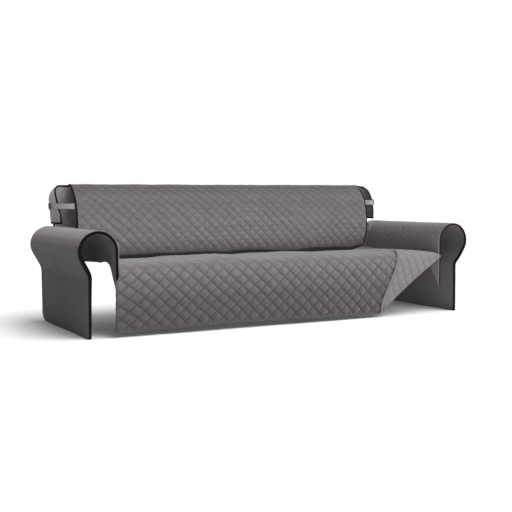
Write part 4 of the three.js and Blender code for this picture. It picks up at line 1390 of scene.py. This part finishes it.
# %% Bands of the arm openings
for word, side in (("left", -1), ("right", 1)):
    places, row_run = arm_grids[word]
    rim, behind = places[-1], places[-2]
    runs = run_along(rim)
    normal = unit(np.cross(rim - behind, np.gradient(rim, axis=0)))
    if normal[2, 0] > 0:
        normal = -normal
    normal = unit(normal * (1, 0, 1))
    rim = rim - normal * CLOTH / 2
    sections = []
    for k, at in enumerate(rim):
        width = float(follow(BAND_AT, BAND_WIDE[word], k / (len(rim) - 1)))
        pucker = 0.0006 * math.sin(runs[k] / 0.0062) + 0.0003 * math.sin(runs[k] / 0.0021)
        corners = np.array(band_section(at, normal[k], width, pucker))
        sections.append(corners * (side, 1, 1) - (0, SETBACK, CLEARANCE))
    band = sweep("arm_edge_" + word, sections, edging_fabric, 0.04)
    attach(band, "root")
    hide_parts("arm_band_" + word)

# %% [markdown]
# ## Binding of the back
# The back panel's free edge is bound in the same dark elastic: up beside the front, over the top,
# round the wrapped ends and down behind. The binding takes the cloth's edge between its two halves,
# so its section, an oval, reaches a little over the edge. The route is given in the same counts of
# stitch crossings as the cloth, so the binding can't leave it either. At a corner of the route the
# section is set along the mitre of its two sides, as a frame's corner is.

# %% Route of the binding
def back_normal(column, row):
    """Outward normal of the back's cloth at one count of columns and rows."""
    ahead = 0.02 if row < BACK_ROWS - 0.02 else 0.0
    columns_round = [column + 0.02, column - 0.02, column, column]
    here = back_place(columns_round, [row, row, row + ahead, row + ahead - 0.02])
    return unit(np.cross(here[0] - here[1], here[2] - here[3]))


def binding_route(side):
    """Counts of columns and rows along the free edge, with the corners kept clear of fine steps."""
    corners = [
        (FRONT_COLUMNS, 1), (FRONT_COLUMNS, wrap_start), (WIDE_COLUMNS, wrap_start),
        (WIDE_COLUMNS, wrap_end), (LOW_COLUMNS, wrap_end), (LOW_COLUMNS, BACK_ROWS),
    ]
    route = [np.array(corners[0], float)]
    for start, end in zip(corners, corners[1:]):
        start, end = np.array(start, float), np.array(end, float)
        length = np.linalg.norm(end - start)
        inner = np.arange(0.5, length - 0.45, 0.25)
        route += [start + (end - start) * d / length for d in inner] + [end]
    return [(side * column, row) for column, row in route]


print("steps of the binding on each side:", len(binding_route(1)))

# %% Binding of the back
BINDING_OVER = 0.0025
HALF_WIDE, HALF_THICK = 0.0062, 0.0026
around = np.linspace(0, 2 * math.pi, 12, endpoint=False)
for word, side in (("left", -1), ("right", 1)):
    route = binding_route(side)
    normals = np.array([back_normal(c, r) for c, r in route])
    middles = np.array([back_place(c, r) for c, r in route]) - normals * CLOTH / 2
    outs = unit(np.cross(np.diff(middles, axis=0), normals[:-1])) * side
    first, second = np.vstack([outs[:1], outs]), np.vstack([outs, outs[-1:]])
    mitres = (first + second) / (1 + (first * second).sum(1, keepdims=True))
    sections = []
    for k in range(len(route)):
        pucker = 1 + 0.05 * np.sin(k * 2.1)
        sideways = [mitres[k] * (BINDING_OVER + HALF_WIDE * math.cos(t)) for t in around]
        upwards = [normals[k] * HALF_THICK * pucker * math.sin(t) for t in around]
        sections.append([middles[k] + out + up for out, up in zip(sideways, upwards)])
    binding = sweep("back_binding_" + word, sections, edging_fabric, 0.02)
    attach(binding, "root")
    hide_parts("back_tape_" + word)

# %% [markdown]
# ## Straps
# A grey elastic strap runs from behind the front edge of the back, across the rounded end and over
# the edge of the rear drop to the rear corner. It is flat webbing: a thin bar whose section is
# slightly thicker at its two edges, swept along the outlines of the end at its lower and its upper
# edge, so it leans as the end leans. It starts a little inside the end's outline and comes out over
# the cloth, and as it is stretched, it is drawn in a little at its middle.

# %% Section of the webbing
STRAP_Z = {-1: 0.738, 1: 0.749}
STRAP_HIGH, STRAP_THICK = 0.035, 0.002
STRAP_UNDER, STRAP_OVER = -0.0074, 0.0032
STRAP_WAIST = 0.0012
WEBBING_SECTION = [
    (0, 0.2), (0.06, 0), (0.5, 0.15), (0.94, 0), (1, 0.2), (1, 0.8), (0.94, 1), (0.5, 0.85), (0.06, 1),
    (0, 0.8),
]


def strap_edges(side):
    """Heights of the strap's lower and its upper edge."""
    return STRAP_Z[side] - STRAP_HIGH / 2, STRAP_Z[side] + STRAP_HIGH / 2


def webbing_section(side, edges, away, waist):
    """Corners of the webbing between its two edges, so far away from the end and so drawn in."""
    low, high = np.array(edges[0]), np.array(edges[1])
    corners = []
    for up, off in WEBBING_SECTION:
        x, y, out_x, out_y, z = low + (high - low) * up
        out = away + STRAP_THICK * off
        z = z + waist * np.sign(0.5 - up)
        corners.append((side * (x + out_x * out), y + out_y * out - SETBACK, z - CLEARANCE))
    return corners


print("strap", 1000 * STRAP_HIGH, "mm wide, its edges at", [round(z, 4) for z in strap_edges(1)])

# %% Way of the straps
STRAP_INSETS = (0.025, 0.012, 0.001)
STRAP_WAY, STRAP_STEPS = 0.72, 60


def on_outline(line, run, share):
    """A place on an end's outline, counted from its front, and the direction away from the end."""
    at = (1 - share) * run[-1]
    x, y = walk(line, run, at)
    step = unit(walk(line, run, at + 0.001) - walk(line, run, at - 0.001))
    return x, y, -step[1], step[0]


def strap_sections(side):
    """Sections of a strap from behind the front edge of the back's end to its rear corner."""
    heights = strap_edges(side)
    outlines = [end_outline(side, z, 90) for z in heights]
    sections = []
    for inset in STRAP_INSETS:
        edges = [(BACK_HALF - inset, float(back_front(z)), 0.0, -1.0, z) for z in heights]
        sections.append(webbing_section(side, edges, STRAP_UNDER, 0.0))
    for share in np.linspace(0, STRAP_WAY, STRAP_STEPS):
        edges = [(*on_outline(*outline, share), z) for z, outline in zip(heights, outlines)]
        away = STRAP_UNDER + (STRAP_OVER - STRAP_UNDER) * float(smoothstep(share, 0.035, 0.17))
        waist = STRAP_WAIST * math.sin(math.pi * share / STRAP_WAY)
        sections.append(webbing_section(side, edges, away, waist))
    return sections


for word, side in (("left", -1), ("right", 1)):
    strap = sweep("end_band_" + word, strap_sections(side), strap_fabric, 0.075)
    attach(strap, "root")
    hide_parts("end_strap_" + word)

# %% [markdown]
# ## Finish of the sliders
# A slider is moulded from dark plastic. Its mould leaves a fine grain, and handling polishes it here
# and there, so it is a little smoother and darker in places. The pattern is fixed to the piece's
# Object coordinates, as a moulded part has no flat cut to follow.

# %% Finish of the sliders
def slider_material():
    """Matt dark plastic with a fine grain, worn in places."""
    material, start = new_material("matt_dark_plastic")
    place = start.node("ShaderNodeTexCoord", output=3)
    grain = noise_of(start, place, 900.0, 2.0, 0.6)
    worn = noise_of(start, place, 60.0, 3.0, 0.5)
    light = 1.0 + grain * 0.1 + worn * 0.2
    close_material(start, lit(light, to_light(74, 64, 56)), 0.45 + worn * 0.2, grain, 0.0001)
    return material


slider_finish = slider_material()
print("finish of the sliders:", slider_finish.name)

# %% [markdown]
# ## Sliders
# A small moulded slider sits on each strap at the rear corner and sets its length. It is a flat frame
# with two slots and a bar between them. It starts as a grid, as by hand: its lines are moved to the
# edges of the bars, the cells of the slots are deleted and the rest is extruded to its thickness.
# One Bevel modifier rounds the four outer corners, held to them by a vertex group, and a second one
# rounds every edge a little.

# %% Slider
SLIDER_X = (-0.015, -0.0105, -0.0022, 0.0022, 0.0105, 0.015)
SLIDER_Y = (-0.021, -0.0178, -0.009, 0.009, 0.0178, 0.021)
SLIDER_THICK = 0.0042
GRID_CELLS = 5


def rounded(piece, width, segments, **limit):
    """Rounds edges with a Bevel modifier, which is applied; limit says which edges."""
    bevel = piece.modifiers.new("rounding", "BEVEL")
    bevel.width = width
    bevel.segments = segments
    for name, value in limit.items():
        setattr(bevel, name, value)
    bpy.ops.object.modifier_apply(modifier=bevel.name)


def slider_frame(name):
    """The slider flat at the origin: width along x, height along y, thickness along z."""
    bpy.ops.object.select_all(action="DESELECT")
    bpy.ops.mesh.primitive_grid_add(x_subdivisions=GRID_CELLS, y_subdivisions=GRID_CELLS, size=1)
    piece = bpy.context.active_object
    piece.name = name
    for point in piece.data.vertices:
        point.co.x = SLIDER_X[round((point.co.x + 0.5) * GRID_CELLS)]
        point.co.y = SLIDER_Y[round((point.co.y + 0.5) * GRID_CELLS)]
    bpy.ops.object.mode_set(mode="EDIT")
    bpy.ops.mesh.select_mode(type="FACE")
    bpy.ops.object.mode_set(mode="OBJECT")
    for face in piece.data.polygons:
        beside_bar = SLIDER_X[3] < abs(face.center.x) < SLIDER_X[4]
        face.select = beside_bar and abs(face.center.y) < SLIDER_Y[4]
    bpy.ops.object.mode_set(mode="EDIT")
    bpy.ops.mesh.delete(type="FACE")
    bpy.ops.mesh.select_all(action="SELECT")
    bpy.ops.mesh.extrude_region_move(TRANSFORM_OT_translate={"value": (0, 0, SLIDER_THICK)})
    bpy.ops.mesh.select_all(action="SELECT")
    bpy.ops.mesh.normals_make_consistent(inside=False)
    bpy.ops.object.mode_set(mode="OBJECT")
    far_x, far_y = 0.99 * SLIDER_X[-1], 0.99 * SLIDER_Y[-1]
    outer = [v.index for v in piece.data.vertices if abs(v.co.x) > far_x and abs(v.co.y) > far_y]
    piece.vertex_groups.new(name="outer_corners").add(outer, 1.0, "REPLACE")
    rounded(piece, 0.0035, 4, limit_method="VGROUP", vertex_group="outer_corners")
    rounded(piece, 0.0009, 2, limit_method="ANGLE", angle_limit=math.radians(30))
    piece.data.materials.append(slider_finish)
    bpy.ops.object.shade_smooth_by_angle(angle=math.radians(40))
    return piece


print("slider", round(2000 * SLIDER_X[-1]), "by", round(2000 * SLIDER_Y[-1]), "mm")

# %% [markdown]
# ## Sliders on their straps
# Each slider is laid on its strap where the strap reaches the given depth at the rear corner. Its
# height follows the line between the strap's two edges, its width the way of the strap, and it lies
# just outside the webbing. The place is worked out on the right and written into the slider's own
# mesh, mirrored for the left, so the object itself stays unturned at the origin.

# %% Sliders on their straps
SLIDER_DEPTH = {-1: 0.940, 1: 0.915}
SLIDER_OFF = 0.0060


def slider_axes(side):
    """Middle of the slider on the right end, its width's and its height's direction, and its face's."""
    ends = []
    for z in strap_edges(side):
        line, run = end_outline(side, z, 90)
        after = np.argwhere(line[:, 1] <= SLIDER_DEPTH[side])[:, 0]
        k = next(n for n in after if run[n] > 0.3 * run[-1])
        ends.append((*line[k], z, *(line[k] - line[k - 1])))
    low, high = np.array(ends[0]), np.array(ends[1])
    up = unit(high[:3] - low[:3])
    across = unit(np.array([-(low[3] + high[3]), -(low[4] + high[4]), 0.0]))
    facing = unit(np.cross(across, up))
    across = unit(np.cross(up, facing))
    return (low[:3] + high[:3]) / 2 + facing * SLIDER_OFF, across, up, facing


for word, side in (("left", -1), ("right", 1)):
    middle, across, up, facing = slider_axes(side)
    slider = slider_frame("strap_frame_" + word)
    corners = np.array([v.co for v in slider.data.vertices])
    placed = middle + corners[:, :1] * across + corners[:, 1:2] * up + corners[:, 2:] * facing
    placed = placed * (side, 1, 1) - (0, SETBACK, CLEARANCE)
    slider.data.vertices.foreach_set("co", placed.astype(np.float32).ravel())
    if side < 0:
        slider.data.flip_normals()
    slider.data.update()
    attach(slider, "root")
    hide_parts("strap_slider_" + word)
    print(slider.name, "at", box_of(slider))

# %% [markdown]
# ## Cloth sheets
# Each panel is a sheet of cloth, cut flat before it was sewn and hung, and the back's rectangle has
# its corners cut away, so its area is given as well, as a share of the rectangle that was judged by
# how the cloth hangs. The names of the sheets are printed here.

# %% Cloth sheets
print("sheets:", seat_cloth.name, back_cloth.name, [cloth.name for cloth in arm_cloths.values()])

# %% [markdown]
# ## Size
# Cloth stands a little proud of its solids.
